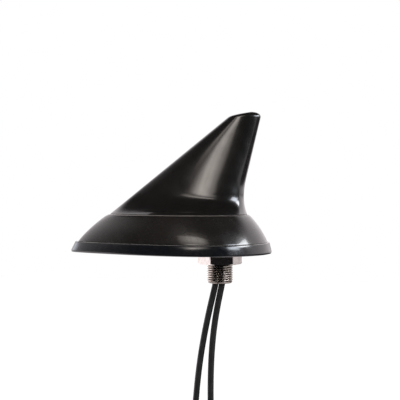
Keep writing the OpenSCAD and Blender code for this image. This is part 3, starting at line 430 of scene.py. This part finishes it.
LOOKS = {
    "fin_plastic": surface(
        "polished black plastic", tones=((0.0075, 0.007, 0.0066), (0.0105, 0.0097, 0.009)),
        rough=(0.2, 0.27), grain=(2600.0, 0.0000015), mottle=60.0, peel=(260.0, 0.000012), coat=0.8
    ),
    # As the fin, a little browner, with a pale band painted along its top edge as a painted highlight
    "skirt_plastic": surface(
        "polished skirt plastic", tones=((0.0115, 0.0099, 0.009), (0.0155, 0.0132, 0.012)),
        rough=(0.22, 0.29), grain=(2600.0, 0.0000015), mottle=60.0, peel=(260.0, 0.000014), coat=0.7,
        painted_edge_highlight=(SEAM_Z - SKIRT_HIGHLIGHT[0], SEAM_Z - SKIRT_HIGHLIGHT[1], (0.26, 0.235, 0.22))
    ),
    # The rim's top edge is painted pale, a painted highlight along it
    "gasket_rubber": surface(
        "glossy black rubber", tones=((0.0045, 0.0054, 0.0075), (0.0065, 0.0076, 0.0102)),
        rough=(0.18, 0.27), grain=(1800.0, 0.000004), mottle=120.0, peel=(320.0, 0.00002), coat=0.5,
        painted_edge_highlight=(RIM_H - RIM_SHOULDER, RIM_H - RIM_SHOULDER + RIM_HIGHLIGHT, (0.2, 0.19, 0.185))
    ),
    "grommet_rubber": surface(
        "matt black rubber", tones=((0.014, 0.014, 0.014), (0.024, 0.024, 0.023)),
        rough=(0.55, 0.75), grain=(2400.0, 0.00001)
    ),
    # Painted shade darkens the thread's roots
    "stud_nickel": surface(
        "nickel plated thread", tones=((0.6, 0.54, 0.49), (0.7, 0.64, 0.59)),
        rough=(0.16, 0.28), grain=(900.0, 0.000003), metallic=1.0, mottle=260.0, stretch=(1, 1, 9),
        root_shade=(
            STUD_R - ROOT_SHADE_SHARES[0] * THREAD_DEPTH, STUD_R - ROOT_SHADE_SHARES[1] * THREAD_DEPTH,
            (0.16, 0.14, 0.125)
        )
    ),
    "nut_nickel": surface(
        "nickel plate", tones=((0.68, 0.63, 0.6), (0.78, 0.73, 0.7)),
        rough=(0.14, 0.24), grain=(900.0, 0.000003), metallic=1.0, mottle=260.0, stretch=(1, 1, 9)
    ),
    "cast_metal": surface(
        "cast alloy", tones=((0.33, 0.34, 0.35), (0.46, 0.47, 0.48)),
        rough=(0.38, 0.6), grain=(1500.0, 0.00004), metallic=1.0, mottle=180.0, peel=(420.0, 0.00003)
    ),
    "lead_jacket": surface(
        "lead jacket", tones=((0.0125, 0.013, 0.0135), (0.0185, 0.019, 0.0195)),
        rough=(0.34, 0.46), grain=(1600.0, 0.000006), mottle=200.0, stretch=(1, 1, 0.08)
    ),
    "plug_plastic": surface(
        "moulded black plastic", tones=((0.018, 0.018, 0.02), (0.028, 0.028, 0.031)),
        rough=(0.42, 0.6), grain=(3000.0, 0.000012)
    ),
    "contact_metal": surface(
        "plated contact", tones=((0.62, 0.44, 0.16), (0.74, 0.55, 0.24)),
        rough=(0.16, 0.3), grain=(1200.0, 0.000003), metallic=1.0, mottle=300.0
    ),
    "tin_sheet": surface(
        "tinned sheet", tones=((0.5, 0.5, 0.49), (0.66, 0.66, 0.65)),
        rough=(0.2, 0.38), grain=(900.0, 0.000006), metallic=1.0, mottle=240.0, stretch=(1, 8, 1)
    ),
    "copper_track": surface(
        "copper", tones=((0.52, 0.2, 0.08), (0.72, 0.31, 0.15)),
        rough=(0.2, 0.36), grain=(1400.0, 0.000005), metallic=1.0, mottle=260.0
    ),
    "patch_ceramic": surface(
        "sintered ceramic", tones=((0.52, 0.44, 0.33), (0.64, 0.56, 0.44)),
        rough=(0.55, 0.75), grain=(2200.0, 0.000014), mottle=400.0
    ),
    "foam_black": surface(
        "open foam", tones=((0.012, 0.012, 0.013), (0.05, 0.05, 0.052)),
        rough=(0.85, 0.98), grain=(1100.0, 0.0003), mottle=1100.0
    ),
    "screw_zinc": surface(
        "zinc plate", tones=((0.46, 0.47, 0.5), (0.6, 0.61, 0.63)),
        rough=(0.22, 0.4), grain=(1500.0, 0.000008), metallic=1.0, mottle=300.0
    ),
    "board_green": board(),
}
# Slots that look like another one
TWINS = {
    "copper_wire": "copper_track", "sleeve_metal": "tin_sheet", "silver_foil": "tin_sheet",
    "screw_dark": "screw_zinc", "tinned_brass": "contact_metal", "chip_black": "plug_plastic",
    "former_black": "plug_plastic",
}
LOOKS.update({slot_name: LOOKS[twin] for slot_name, twin in TWINS.items()})


def dress_nodes():
    """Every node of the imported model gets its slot's material, also the ones that a piece replaces."""
    slots = {s["node"]: s["material_slot"] for s in frame["record"]["subparts"]}
    for name, slot_name in slots.items():
        mesh = frame["nodes"][name].data
        mesh.materials.clear()
        mesh.materials.append(LOOKS[slot_name])


# Leads

def curve_point(points, i, t):
    """A point between route points i and i + 1, on a Catmull-Rom curve through them all."""
    last = len(points) - 1
    a, b = Vector(points[max(i - 1, 0)]), Vector(points[i])
    c, d = Vector(points[i + 1]), Vector(points[min(i + 2, last)])
    square = 2 * a - 5 * b + 4 * c - d
    cube = 3 * b - a - 3 * c + d
    return 0.5 * (2 * b + (c - a) * t + square * t * t + cube * t ** 3)


def smooth_route(points):
    spans = range(len(points) - 1)
    path = [curve_point(points, i, k / ROUTE_STEPS) for i in spans for k in range(ROUTE_STEPS)]
    return path + [Vector(points[-1])]


def band_faces(rows, count, closed=True):
    """The faces between rows of count points each. Closed rows also join the last to the first."""
    faces = []
    for k in range(rows if closed else rows - 1):
        for i in range(count):
            a, b = k * count + i, k * count + (i + 1) % count
            c = ((k + 1) % rows) * count
            faces.append((a, b, c + (i + 1) % count, c + i))
    return faces


def tube(name, path, radius, slot_name):
    """A closed tube along a path, with its rings turned as little as possible."""
    verts = []
    side = Vector((0, 1, 0))
    last = len(path) - 1
    for k, point in enumerate(path):
        along = (path[min(k + 1, last)] - path[max(k - 1, 0)]).normalized()
        side = (side - along * side.dot(along)).normalized()
        up = along.cross(side)
        for s in range(TUBE_N):
            angle = 2 * math.pi * s / TUBE_N
            verts.append(point + radius * (math.cos(angle) * side + math.sin(angle) * up))
    faces = band_faces(len(path), TUBE_N, closed=False)
    faces.append(tuple(range(TUBE_N))[::-1])
    faces.append(tuple(last * TUBE_N + s for s in range(TUBE_N)))
    return add_piece(name, verts, faces, LOOKS[slot_name])


def boot(name, end):
    """Ribbed rubber boot over the lead, just above its crimped sleeve, turned about a vertical axis."""
    inner = LEAD_D / 2 + BOOT_GAP
    outer = []
    for t in steps_to(BOOT_RIBS * RIB_STEPS):
        rib = BOOT_RIB_H * math.cos(2 * math.pi * BOOT_RIBS * t)
        outer.append((mix(*BOOT_R, t) - BOOT_RIB_H + rib, mix(*BOOT_SPAN, t)))
    profile = [(inner, BOOT_SPAN[0])] + outer + [(inner, BOOT_SPAN[1])]
    verts = []
    for r, z in profile:
        for s in range(BOOT_N):
            angle = 2 * math.pi * s / BOOT_N
            verts.append((end[0] + r * math.cos(angle), end[1] + r * math.sin(angle), end[2] + z))
    faces = band_faces(len(profile), BOOT_N)
    return add_piece(name, verts, faces, LOOKS["grommet_rubber"])


def lead(name, route):
    path = smooth_route(route)
    piece = tube(name + "_jacket", path, LEAD_D / 2, "lead_jacket")
    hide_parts(name + "_lead")
    sleeve_boot = boot(name + "_boot", route[-1])


lead("front", FRONT_ROUTE)
lead("rear", REAR_ROUTE)


# Housing

def drawn_in(outline, nose, tail, side):
    """An outline made smaller at its nose, its tail and each side."""
    return outline[0] - nose, outline[1] - tail, outline[2] - side, outline[3]


def egg_peak(k):
    """The greatest width of an egg outline, as a multiple of its plain half width."""
    c = (math.sqrt(1 + 8 * k * k) - 1) / (4 * k) if k else 0
    return math.sqrt(1 - c * c) * (1 + k * c)


def egg_point(outline, angle):
    """A point of an outline at an angle, in radians, with 0 at the tail."""
    nose, tail, half, egg = outline
    side = half / egg_peak(egg)
    x = (tail - nose) / 2 + (tail + nose) / 2 * math.cos(angle)
    return x, side * math.sin(angle) * (1 + egg * math.cos(angle))


def ring(outline, z):
    return [(*egg_point(outline, 2 * math.pi * i / OUTLINE_N), z) for i in range(OUTLINE_N)]


def fin_rise(z):
    """0 at the seam, rising to 1 where the crown starts."""
    return clamp((z - SEAM_Z) / (CROWN_Z - SEAM_Z))


def fin_ring(outline, z):
    """A ring of the fin: the bowed rear face between its corners, then the sides."""
    nose, tail, half, egg = outline
    corner = math.radians(mix(FOOT_CORNER, TIP_CORNER, fin_rise(z)))
    bow = mix(FOOT_BOW, TIP_BOW, fin_rise(z)) * half
    past = (2 * (tail - bow) + nose * (1 - math.cos(corner))) / (1 + math.cos(corner))
    sides = (nose, past, half, egg)
    half_face = egg_point(sides, corner)[1]
    points = []
    for i in range(OUTLINE_N):
        step = i if i < OUTLINE_N / 2 else i - OUTLINE_N
        share = step / FACE_N
        if abs(share) < 1:
            points.append((tail - bow * share * share, half_face * share, z))
            continue
        angle = mix(corner, math.pi, (abs(step) - FACE_N) / (OUTLINE_N / 2 - FACE_N))
        points.append((*egg_point(sides, math.copysign(angle, step)), z))
    return points


def bowed(t, bow):
    """0 to 1 as t goes from 0 to 1, sagging in between."""
    return t * (1 - bow) + bow * t * t


RIM = drawn_in(BASE, *RIM_LEAN)
SKIRT_FOOT = drawn_in(RIM, *LEDGE)
SKIRT_INSIDE = drawn_in(SKIRT_FOOT, SKIRT_WALL, SKIRT_WALL, SKIRT_WALL)
FIN_FOOT = drawn_in(SEAM, SEAM_STEP, SEAM_STEP, SEAM_STEP)
NOSE_SLOPE = (CROWN_Z - SEAM_Z) / (FIN_FOOT[0] + TIP_FRONT)
TAIL_SLOPE = (TIP_REAR - FIN_FOOT[1] + TAIL_FLARE) / (CROWN_Z - SEAM_Z)
CROWN_FRONT = TIP_REAR - TIP_FRONT - CROWN_RIDGE - CROWN_REAR


def skirt_outline(t):
    return (
        mix(SKIRT_FOOT[0], SEAM[0], bowed(t, BOW_FRONT)),
        mix(SKIRT_FOOT[1], SEAM[1], bowed(t, BOW_REAR)),
        mix(SKIRT_FOOT[2], SEAM[2], bowed(t, (BOW_FRONT + BOW_REAR) / 2)),
        mix(SKIRT_FOOT[3], SEAM[3], t),
    )


def flare_left(z, height):
    """1 at the seam, falling to 0 at a height above it."""
    return clamp(1 - (z - SEAM_Z) / height)


def fin_egg(z):
    """How far back the fin's widest place lies at a level."""
    waist = SEAM_Z + SIDE_FLARE_H
    if z < waist:
        return mix(SEAM[3], WAIST_EGG, (z - SEAM_Z) / SIDE_FLARE_H)
    return mix(WAIST_EGG, TIP_EGG, clamp((z - waist) / (CROWN_Z - waist)))


def fin_outline(z):
    """The fin's outline at a level, with the crown closing over the tip."""
    w = clamp((z - CROWN_Z) / CROWN_H)
    opening = math.sqrt(1 - w * w)
    body = TIP_HALF_W + (BODY_HALF_W - TIP_HALF_W) * (1 - fin_rise(z)) ** BODY_POWER
    foot = (FIN_FOOT[2] - BODY_HALF_W) * flare_left(z, SIDE_FLARE_H) ** SIDE_FLARE_POWER
    tail = FIN_FOOT[1] - TAIL_FLARE * (1 - flare_left(z, TAIL_FLARE_H) ** TAIL_FLARE_POWER)
    return (
        FIN_FOOT[0] - (z - SEAM_Z) / NOSE_SLOPE - CROWN_FRONT * w ** CROWN_POWER,
        tail + (z - SEAM_Z) * TAIL_SLOPE - CROWN_REAR * (1 - opening),
        (body + foot) * max(CROWN_LEAST, opening),
        fin_egg(z),
    )


def fin_inside(z):
    wall = FIN_WALL / math.sin(math.atan(NOSE_SLOPE))
    return drawn_in(fin_outline(z), wall, FIN_WALL, FIN_WALL)


def skin(name, rings, slot_name, sharp, loop=False):
    """Joins rings of equal count. The ends are zipped shut from side to side, unless it is a loop."""
    count = len(rings[0])
    faces = band_faces(len(rings), count, closed=loop)
    if not loop:
        for start in (0, (len(rings) - 1) * count):
            for i in range(count // 2):
                corners = [i, i + 1, count - i - 1, (count - i) % count]
                face = [start + corner for corner in dict.fromkeys(corners)]
                faces.append(tuple(face if start else face[::-1]))
    verts = [p for r in rings for p in r]
    return add_piece(name, verts, faces, LOOKS[slot_name], sharp)


def inset_ring(outline, inset, z):
    """A ring drawn in by the same amount all round."""
    return ring(drawn_in(outline, inset, inset, inset), z)


def fin():
    """The fin: inner face, tongue, foot and outer face as one closed skin, with the crown zipped shut."""
    waist = SEAM_Z + SIDE_FLARE_H
    ceiling = CROWN_Z - FIN_WALL
    levels = [mix(ceiling, SEAM_Z + FIN_INSIDE_FOOT, t) for t in steps_to(FIN_INSIDE_STEPS)]
    inner = [fin_ring(fin_inside(z), z) for z in levels]
    tongue_in = FLANGE_W + FIT_GAP
    foot = [
        inset_ring(SEAM, tongue_in + TONGUE_T, SEAM_Z + FIN_WALL),
        inset_ring(SEAM, tongue_in + TONGUE_T, SEAM_Z - TONGUE_H),
        inset_ring(SEAM, tongue_in, SEAM_Z - TONGUE_H),
        inset_ring(SEAM, tongue_in, SEAM_Z + TONGUE_ROOT),
    ]
    # The foot's outer edge is rounded, so that a thin shadow shows between fin and skirt
    start = SEAM_Z + FIN_EDGE_H
    edge = [fin_ring(drawn_in(fin_outline(start), d, d, d), SEAM_Z + h) for d, h in FIN_EDGE]
    low = [mix(start, waist, t ** RING_POWER) for t in steps_to(WALL_STEPS)]
    middle = [mix(waist, CROWN_Z, t) for t in steps_to(WALL_STEPS, 1)]
    turns = [math.radians(90 * i / CROWN_STEPS) for i in range(1, CROWN_STEPS + 1)]
    crown = [CROWN_Z + CROWN_H * math.sin(turn) for turn in turns]
    outer = [fin_ring(fin_outline(z), z) for z in low + middle + crown]
    piece = skin("fin_shell", inner + foot + edge + outer, "fin_plastic", sharp=50)
    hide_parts("fin_cover")


def skirt():
    """The skirt: a closed loop of outer wall, rounded top edge, flange and inner wall."""
    foot = [inset_ring(skirt_outline(0), d, RIM_H + h) for d, h in SKIRT_FOOT_EDGE]
    shares = [SKIRT_START + SKIRT_SPAN * i / WALL_STEPS for i in range(WALL_STEPS + 1)]
    outer = [ring(skirt_outline(t), mix(RIM_H, SEAM_Z, t)) for t in shares]
    # The top edge is rounded, then a ledge slopes up to the fin and dips under its edge
    ledge = []
    for turn in EDGE_TURNS:
        a = math.radians(turn)
        ledge.append((SKIRT_EDGE * (1 - math.cos(a)), LEDGE_DROP + SKIRT_EDGE * (1 - math.sin(a))))
    ledge += [(SEAM_STEP + d, drop) for d, drop in SEAM_GROOVE]
    ledge += [(FLANGE_W, 0), (FLANGE_W, FLANGE_T)]
    top = [inset_ring(SEAM, d, SEAM_Z - drop) for d, drop in ledge]
    shares = [
        SKIRT_INSIDE_TOP - SKIRT_INSIDE_TOP * i / SKIRT_INSIDE_STEPS for i in range(SKIRT_INSIDE_STEPS + 1)
    ]
    inner = [inset_ring(skirt_outline(t), SKIRT_WALL, mix(RIM_H, SEAM_Z, t)) for t in shares]
    piece = skin("skirt_wall", foot + outer + top + inner, "skirt_plastic", sharp=50, loop=True)
    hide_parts("skirt_shell")


def gasket():
    """The gasket: rounded lip, leaning rim, tray for the base plate, and sealing grooves underneath."""
    def round_ring(r, z):
        turns = [2 * math.pi * i / OUTLINE_N for i in range(OUTLINE_N)]
        return [(r * math.cos(turn), r * math.sin(turn), z) for turn in turns]

    under = [round_ring(HOLE_R + out, depth) for out, depth in HOLE_GROOVE]
    under += [inset_ring(BASE, d, depth) for d, depth in BASE_GROOVES]
    lip = []
    for i in range(EDGE_STEPS + 1):
        angle = math.radians(90 * i / EDGE_STEPS)
        inset = [radius * (1 - math.sin(angle)) for radius in RIM_CORNER]
        lip.append(ring(drawn_in(BASE, *inset), RIM_LIP * (1 - math.cos(angle))))
    # Nose and tail lean straight. The long sides stand upright and turn in near their top
    reach = [total * share for total, share in zip(RIM_LEAN, RIM_SLANT)]
    wall = []
    for t in steps_to(RIM_STEPS, 1):
        turned_in = mix(t, t ** RIM_BULGE_POWER, RIM_BULGE)
        lean = [reach[0] * t, reach[1] * t, reach[2] * turned_in]
        wall.append(ring(drawn_in(BASE, *lean), mix(RIM_LIP, RIM_H - RIM_SHOULDER, t)))
    # A ledge slopes up from the rim to the skirt
    top = []
    for t in steps_to(EDGE_STEPS, 1):
        lean = [total * mix(share, 1, t) for total, share in zip(RIM_LEAN, RIM_SLANT)]
        top.append(ring(drawn_in(BASE, *lean), RIM_H - RIM_SHOULDER * (1 - t)))
    tray = [ring(SKIRT_INSIDE, RIM_H), ring(SKIRT_INSIDE, GASKET_FLOOR), round_ring(HOLE_R, GASKET_FLOOR)]
    piece = skin("rubber_gasket", under + lip + wall + top + tray, "gasket_rubber", sharp=40, loop=True)
    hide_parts("base_gasket")


def lathe_grid(name, rows, radius_at, slot_name, columns, sharp):
    """A closed ring body from rows of (kind, height), with the radius worked out at each angle."""
    verts = []
    for row in rows:
        for s in range(columns):
            angle = 2 * math.pi * s / columns
            r = radius_at(row, angle)
            verts.append((r * math.cos(angle), r * math.sin(angle), row[1]))
    faces = band_faces(len(rows), columns)
    return add_piece(name, verts, faces, LOOKS[slot_name], sharp)


def thread_cut(z, angle):
    """Depth of the thread at a height and an angle: 0 on the crest, THREAD_DEPTH in the root."""
    phase = (z / THREAD_PITCH - angle / (2 * math.pi)) % 1.0
    wave = abs(2 * phase - 1)
    return THREAD_DEPTH * clamp((wave - THREAD_CREST) / THREAD_FLANK)


def stud():
    """The hollow stud: chamfered threaded shank, flatted head, flared bore."""
    bottom = -STUD_REACH
    top = STUD_HEAD_Z
    steps = int((top - bottom) / THREAD_PITCH * STUD_TURN_STEPS)
    rows = [("shank", mix(bottom, top, i / steps)) for i in range(steps + 1)]
    rows += [
        ("head_low", top), ("head", top + STUD_HEAD_EDGE),
        ("head", STUD_HEAD_TOP - STUD_HEAD_EDGE), ("head_low", STUD_HEAD_TOP),
        ("mouth", STUD_HEAD_TOP), ("bore", STUD_HEAD_TOP - BORE_FLARE),
        ("bore", bottom + BORE_END[1]), ("end", bottom),
    ]

    def radius_at(row, angle):
        kind, z = row
        if kind == "shank":
            cone = STUD_R - STUD_CHAMFER + (z - bottom)
            run_out = clamp((top - THREAD_STOP - z) / THREAD_RUN_OUT)
            return min(STUD_R - thread_cut(z, angle) * run_out, cone)
        if kind in ("head", "head_low"):
            flat = STUD_HEAD_FLATS / 2 / max(abs(math.sin(angle)), NEARLY_0)
            return min(STUD_HEAD_R, flat) - (STUD_HEAD_EDGE if kind == "head_low" else 0)
        return {"mouth": BORE_R + BORE_FLARE / 2, "bore": BORE_R, "end": BORE_R + BORE_END[0]}[kind]

    piece = lathe_grid("stud_thread", rows, radius_at, "stud_nickel", STUD_N, sharp=60)
    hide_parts("roof_stud")


def nut():
    """The hexagon nut: arcs where its turned chamfers meet the flats, and a plain bore with a lead-in."""
    half_side = math.radians(30)
    corner_r = NUT_FLATS / 2 / math.cos(half_side) - NUT_CORNER_CUT
    face_r = corner_r - NUT_EDGE
    rise = math.tan(math.radians(30))
    drop = (corner_r - face_r) * rise
    turn = math.radians(NUT_TURN)
    levels = [drop * i / CHAMFER_STEPS for i in range(CHAMFER_STEPS + 1)]
    heights = levels + [NUT_H - h for h in reversed(levels)]
    rows = [("hex", NUT_Z + h) for h in heights]
    steps = int((NUT_H - 2 * NUT_LEAD_IN) / THREAD_PITCH * NUT_TURN_STEPS)
    rows += [("mouth", NUT_Z + NUT_H)]
    rows += [("bore", NUT_Z + mix(NUT_H - NUT_LEAD_IN, NUT_LEAD_IN, i / steps)) for i in range(steps + 1)]
    rows += [("mouth", NUT_Z)]
    bore_r = STUD_R + BORE_GAP

    def radius_at(row, angle):
        kind, z = row
        if kind == "hex":
            around = math.remainder(angle - turn, math.radians(60))
            flat = NUT_FLATS / 2 / math.cos(half_side - abs(around))
            end = min(z - NUT_Z, NUT_Z + NUT_H - z)
            return min(flat, corner_r, face_r + end / rise)
        if kind == "mouth":
            return bore_r + NUT_LEAD_IN
        return bore_r

    piece = lathe_grid("hex_nut", rows, radius_at, "nut_nickel", NUT_N, sharp=25)
    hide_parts("fixing_nut")


fin()
skirt()
gasket()
stud()
nut()
dress_nodes()


# Stage: floor, world and lamps

FLOOR_Z = -193.5
# In metres
FLOOR_SIZE = 4.0
FLOOR_TONE = (0.85, 0.85, 0.85)
FLOOR_ROUGH = 0.9
FLOOR_GLOW = 0.45

# The world's strength where it lights, where mirrors find it dark, and on the table below at each side
AMBIENT = 0.7
DARK = 0.01
LEFT_GLOW = 1.5
RIGHT_GLOW = 0.75
MIRRORED_TINT = (1.0, 0.94, 0.96)

# Where the world's bright parts start and stop changing: the y, or else the z, of a direction of length 1
BACKDROP_SIDE = (-0.45, 0.35)
BACKDROP_TOP = (0.5, 0.73)
BACKDROP_FOOT = (-0.04, 0.02)
TABLE_TOP = (-0.05, 0.0)
RIGHT_BAND = (-0.13, -0.09)
RIGHT_FOOT = (-0.4, -0.55)
# The same as turns in radians, 0 towards the camera's side and positive to the right
LEFT_TURN = (-1.15, -1.33)
RIGHT_TURN = (0.73, 0.87)

LAMP_AIM = (-5, 0, 35)

# The front softbox's face: its parts start and stop changing at these shares of its width or height
SOFTBOX_LEVEL = 1.85
SOFTBOX_FADE = 1.5
SOFTBOX_LEFT = (0.02, 0.4)
SOFTBOX_TOP = (0.37, 0.66)
SOFTBOX_FOOT = (0.0, 0.12)
UPPER_GLOW = 0.65
UPPER_FOOT = (0.58, 0.85)
UPPER_TOP = (0.92, 1.0)
STREAK_SCALE = 14.0
STREAK_SPREAD = (0.85, 1.15)


def ray_kinds(nodes, *kinds):
    """For each kind of ray, a number that is 1 for rays of that kind and 0 for others."""
    path = nodes.new("ShaderNodeLightPath")
    return [path.outputs[kind] for kind in kinds]


def ramp(nodes, links, value, start, end, low=0.0, high=1.0):
    """A smooth step of a number from low to high."""
    node = nodes.new("ShaderNodeMapRange")
    node.interpolation_type = "SMOOTHSTEP"
    node.inputs["From Min"].default_value = start
    node.inputs["From Max"].default_value = end
    node.inputs["To Min"].default_value = low
    node.inputs["To Max"].default_value = high
    links.new(value, node.inputs["Value"])
    return node.outputs["Result"]


def fall(nodes, links, value, start, end, high=1.0):
    """A smooth step of a number down to 0."""
    return ramp(nodes, links, value, start, end, high, 0.0)


def world():
    """A white studio. Mirrors see it white behind, fading towards the sides, and dark above and in front.

    Below the horizon they see a bright table on the left, and one in two bands on the right.
    """
    back = bpy.data.worlds.new("studio")
    bpy.context.scene.world = back
    back.use_nodes = True
    nodes, links = back.node_tree.nodes, back.node_tree.links
    light = nodes["Background"]
    seen, glossy, through = ray_kinds(nodes, "Is Camera Ray", "Is Glossy Ray", "Is Transmission Ray")
    where = nodes.new("ShaderNodeTexCoord")
    split = nodes.new("ShaderNodeSeparateXYZ")
    links.new(where.outputs["Generated"], split.inputs["Vector"])
    x, y, z = split.outputs

    def calc(operation, a, b):
        return math_node(nodes, links, operation, a, b)

    turn = calc("ARCTAN2", x, calc("MULTIPLY", y, -1.0))
    side = ramp(nodes, links, y, *BACKDROP_SIDE)
    backdrop = calc("MULTIPLY", side, fall(nodes, links, z, *BACKDROP_TOP))
    backdrop = calc("MULTIPLY", backdrop, ramp(nodes, links, z, *BACKDROP_FOOT))
    left = ramp(nodes, links, turn, *LEFT_TURN, 0.0, LEFT_GLOW)
    right = ramp(nodes, links, turn, *RIGHT_TURN, 0.0, RIGHT_GLOW)
    bands = calc("MAXIMUM", ramp(nodes, links, z, *RIGHT_BAND), ramp(nodes, links, z, *RIGHT_FOOT))
    right = calc("MULTIPLY", right, bands)
    table = calc("MULTIPLY", calc("MAXIMUM", left, right), fall(nodes, links, z, *TABLE_TOP))
    mirrored = calc("MULTIPLY", glossy, calc("MAXIMUM", calc("MAXIMUM", backdrop, table), DARK))
    direct = calc("MAXIMUM", seen, through)
    rest = calc("MULTIPLY", calc("SUBTRACT", 1.0, calc("MAXIMUM", direct, glossy)), AMBIENT)
    links.new(calc("ADD", calc("MAXIMUM", direct, mirrored), rest), light.inputs["Strength"])
    tint = nodes.new("ShaderNodeMix")
    tint.data_type = "RGBA"
    plain, tinted_white = [socket for socket in tint.inputs if socket.type == "RGBA"]
    plain.default_value = (1, 1, 1, 1)
    tinted_white.default_value = (*MIRRORED_TINT, 1)
    links.new(glossy, tint.inputs[0])
    links.new([socket for socket in tint.outputs if socket.type == "RGBA"][0], light.inputs["Color"])


def floor():
    """A pale floor under the plugs, white to the camera except where a shadow falls, and clear from below."""
    half = FLOOR_SIZE / 2
    z = FLOOR_Z * MM
    mesh = bpy.data.meshes.new("floor")
    corners = [(-half, -half, z), (half, -half, z), (half, half, z), (-half, half, z)]
    mesh.from_pydata(corners, [], [(0, 1, 2, 3)])
    mat, nodes, links, shader = new_material("floor white")
    shader.inputs["Base Color"].default_value = (*FLOOR_TONE, 1)
    shader.inputs["Roughness"].default_value = FLOOR_ROUGH
    shader.inputs["Emission Color"].default_value = (1, 1, 1, 1)
    seen = ray_kinds(nodes, "Is Camera Ray")[0]
    links.new(math_node(nodes, links, "MULTIPLY", seen, FLOOR_GLOW), shader.inputs["Emission Strength"])
    clear = nodes.new("ShaderNodeBsdfTransparent")
    side = nodes.new("ShaderNodeNewGeometry")
    choice = nodes.new("ShaderNodeMixShader")
    links.new(side.outputs["Backfacing"], choice.inputs[0])
    links.new(shader.outputs[0], choice.inputs[1])
    links.new(clear.outputs[0], choice.inputs[2])
    links.new(choice.outputs[0], nodes["Material Output"].inputs["Surface"])
    mesh.materials.append(mat)
    piece = bpy.data.objects.new("floor", mesh)
    bpy.context.collection.objects.link(piece)
    piece.visible_glossy = False


def lamp(name, turn, rise, reach, size, power, color, face, roll=0.0, diffuse=False):
    """A rectangular lamp aimed at the fin, turned from the front towards the tail, raised, and rolled.

    reach and size are in metres. Its face gives the light's level at each place, and unless it is diffuse,
    only mirrors see it.
    """
    data = bpy.data.lights.new(name, "AREA")
    data.shape = "RECTANGLE"
    data.size, data.size_y = size
    data.energy = power
    data.color = color
    data.use_nodes = True
    nodes, links = data.node_tree.nodes, data.node_tree.links
    where = nodes.new("ShaderNodeNewGeometry")
    split = nodes.new("ShaderNodeSeparateXYZ")
    links.new(where.outputs["Parametric"], split.inputs["Vector"])
    level = face(nodes, links, split.outputs["X"], split.outputs["Y"])
    links.new(level, nodes["Emission"].inputs["Strength"])
    obj = bpy.data.objects.new(name, data)
    bpy.context.collection.objects.link(obj)
    turn, rise = math.radians(turn), math.radians(rise)
    away = Vector((math.sin(turn) * math.cos(rise), -math.cos(turn) * math.cos(rise), math.sin(rise)))
    obj.location = Vector(LAMP_AIM) * MM + away * reach
    facing = (-away).to_track_quat("-Z", "Y")
    obj.rotation_euler = (facing @ Quaternion((0, 0, 1), math.radians(roll))).to_euler()
    obj.visible_diffuse = diffuse


def hump(nodes, links, value, power):
    """1 in the middle of 0 to 1, and 0 at both ends."""
    away = math_node(nodes, links, "SUBTRACT", 1.0, value)
    product = math_node(nodes, links, "MULTIPLY", away, value)
    # The product comes to a quarter in the middle
    return math_node(nodes, links, "POWER", math_node(nodes, links, "MULTIPLY", product, 4.0), power)


def even_face(power):
    """A lamp's face that fades towards all its edges."""
    def face(nodes, links, across, up):
        wide, high = hump(nodes, links, across, power), hump(nodes, links, up, power)
        return math_node(nodes, links, "MULTIPLY", wide, high)
    return face


def draped_face(nodes, links, across, up):
    """A softbox that is bright at its lower left and fades to the right, with a faint glow near its top."""
    def calc(operation, a, b):
        return math_node(nodes, links, operation, a, b)

    fade = calc("POWER", calc("SUBTRACT", 1.0, across), SOFTBOX_FADE)
    lit = calc("MULTIPLY", calc("MULTIPLY", fade, ramp(nodes, links, across, *SOFTBOX_LEFT)), SOFTBOX_LEVEL)
    lit = calc("MULTIPLY", lit, fall(nodes, links, up, *SOFTBOX_TOP))
    upper = calc("MULTIPLY", hump(nodes, links, across, 1.0), fall(nodes, links, up, *UPPER_TOP, UPPER_GLOW))
    level = calc("ADD", lit, calc("MULTIPLY", upper, ramp(nodes, links, up, *UPPER_FOOT)))
    level = calc("MULTIPLY", level, ramp(nodes, links, up, *SOFTBOX_FOOT))
    streaks = nodes.new("ShaderNodeTexNoise")
    streaks.noise_dimensions = "1D"
    streaks.inputs["Scale"].default_value = STREAK_SCALE
    links.new(across, streaks.inputs["W"])
    return calc("MULTIPLY", level, spread(nodes, links, streaks.outputs["Fac"], *STREAK_SPREAD))


world()
floor()
lamp(
    "softbox_front", turn=-10, rise=26.4, reach=1.6, size=(1.14, 0.86), power=20, color=(1.0, 0.92, 0.85),
    face=draped_face, roll=14, diffuse=True
)
lamp(
    "lamp_right", turn=90, rise=27, reach=1.4, size=(0.75, 0.4), power=15, color=(0.93, 0.96, 1.0),
    face=even_face(0.3)
)
lamp(
    "glow_right", turn=61, rise=21, reach=1.4, size=(0.66, 0.56), power=15, color=(0.85, 0.91, 1.0),
    face=even_face(0.4)
)
lamp(
    "lamp_left", turn=-112, rise=10, reach=1.5, size=(0.7, 0.3), power=1.6, color=(0.8, 0.88, 1.0),
    face=even_face(0.5)
)

bpy.context.scene.view_settings.view_transform = "Standard"
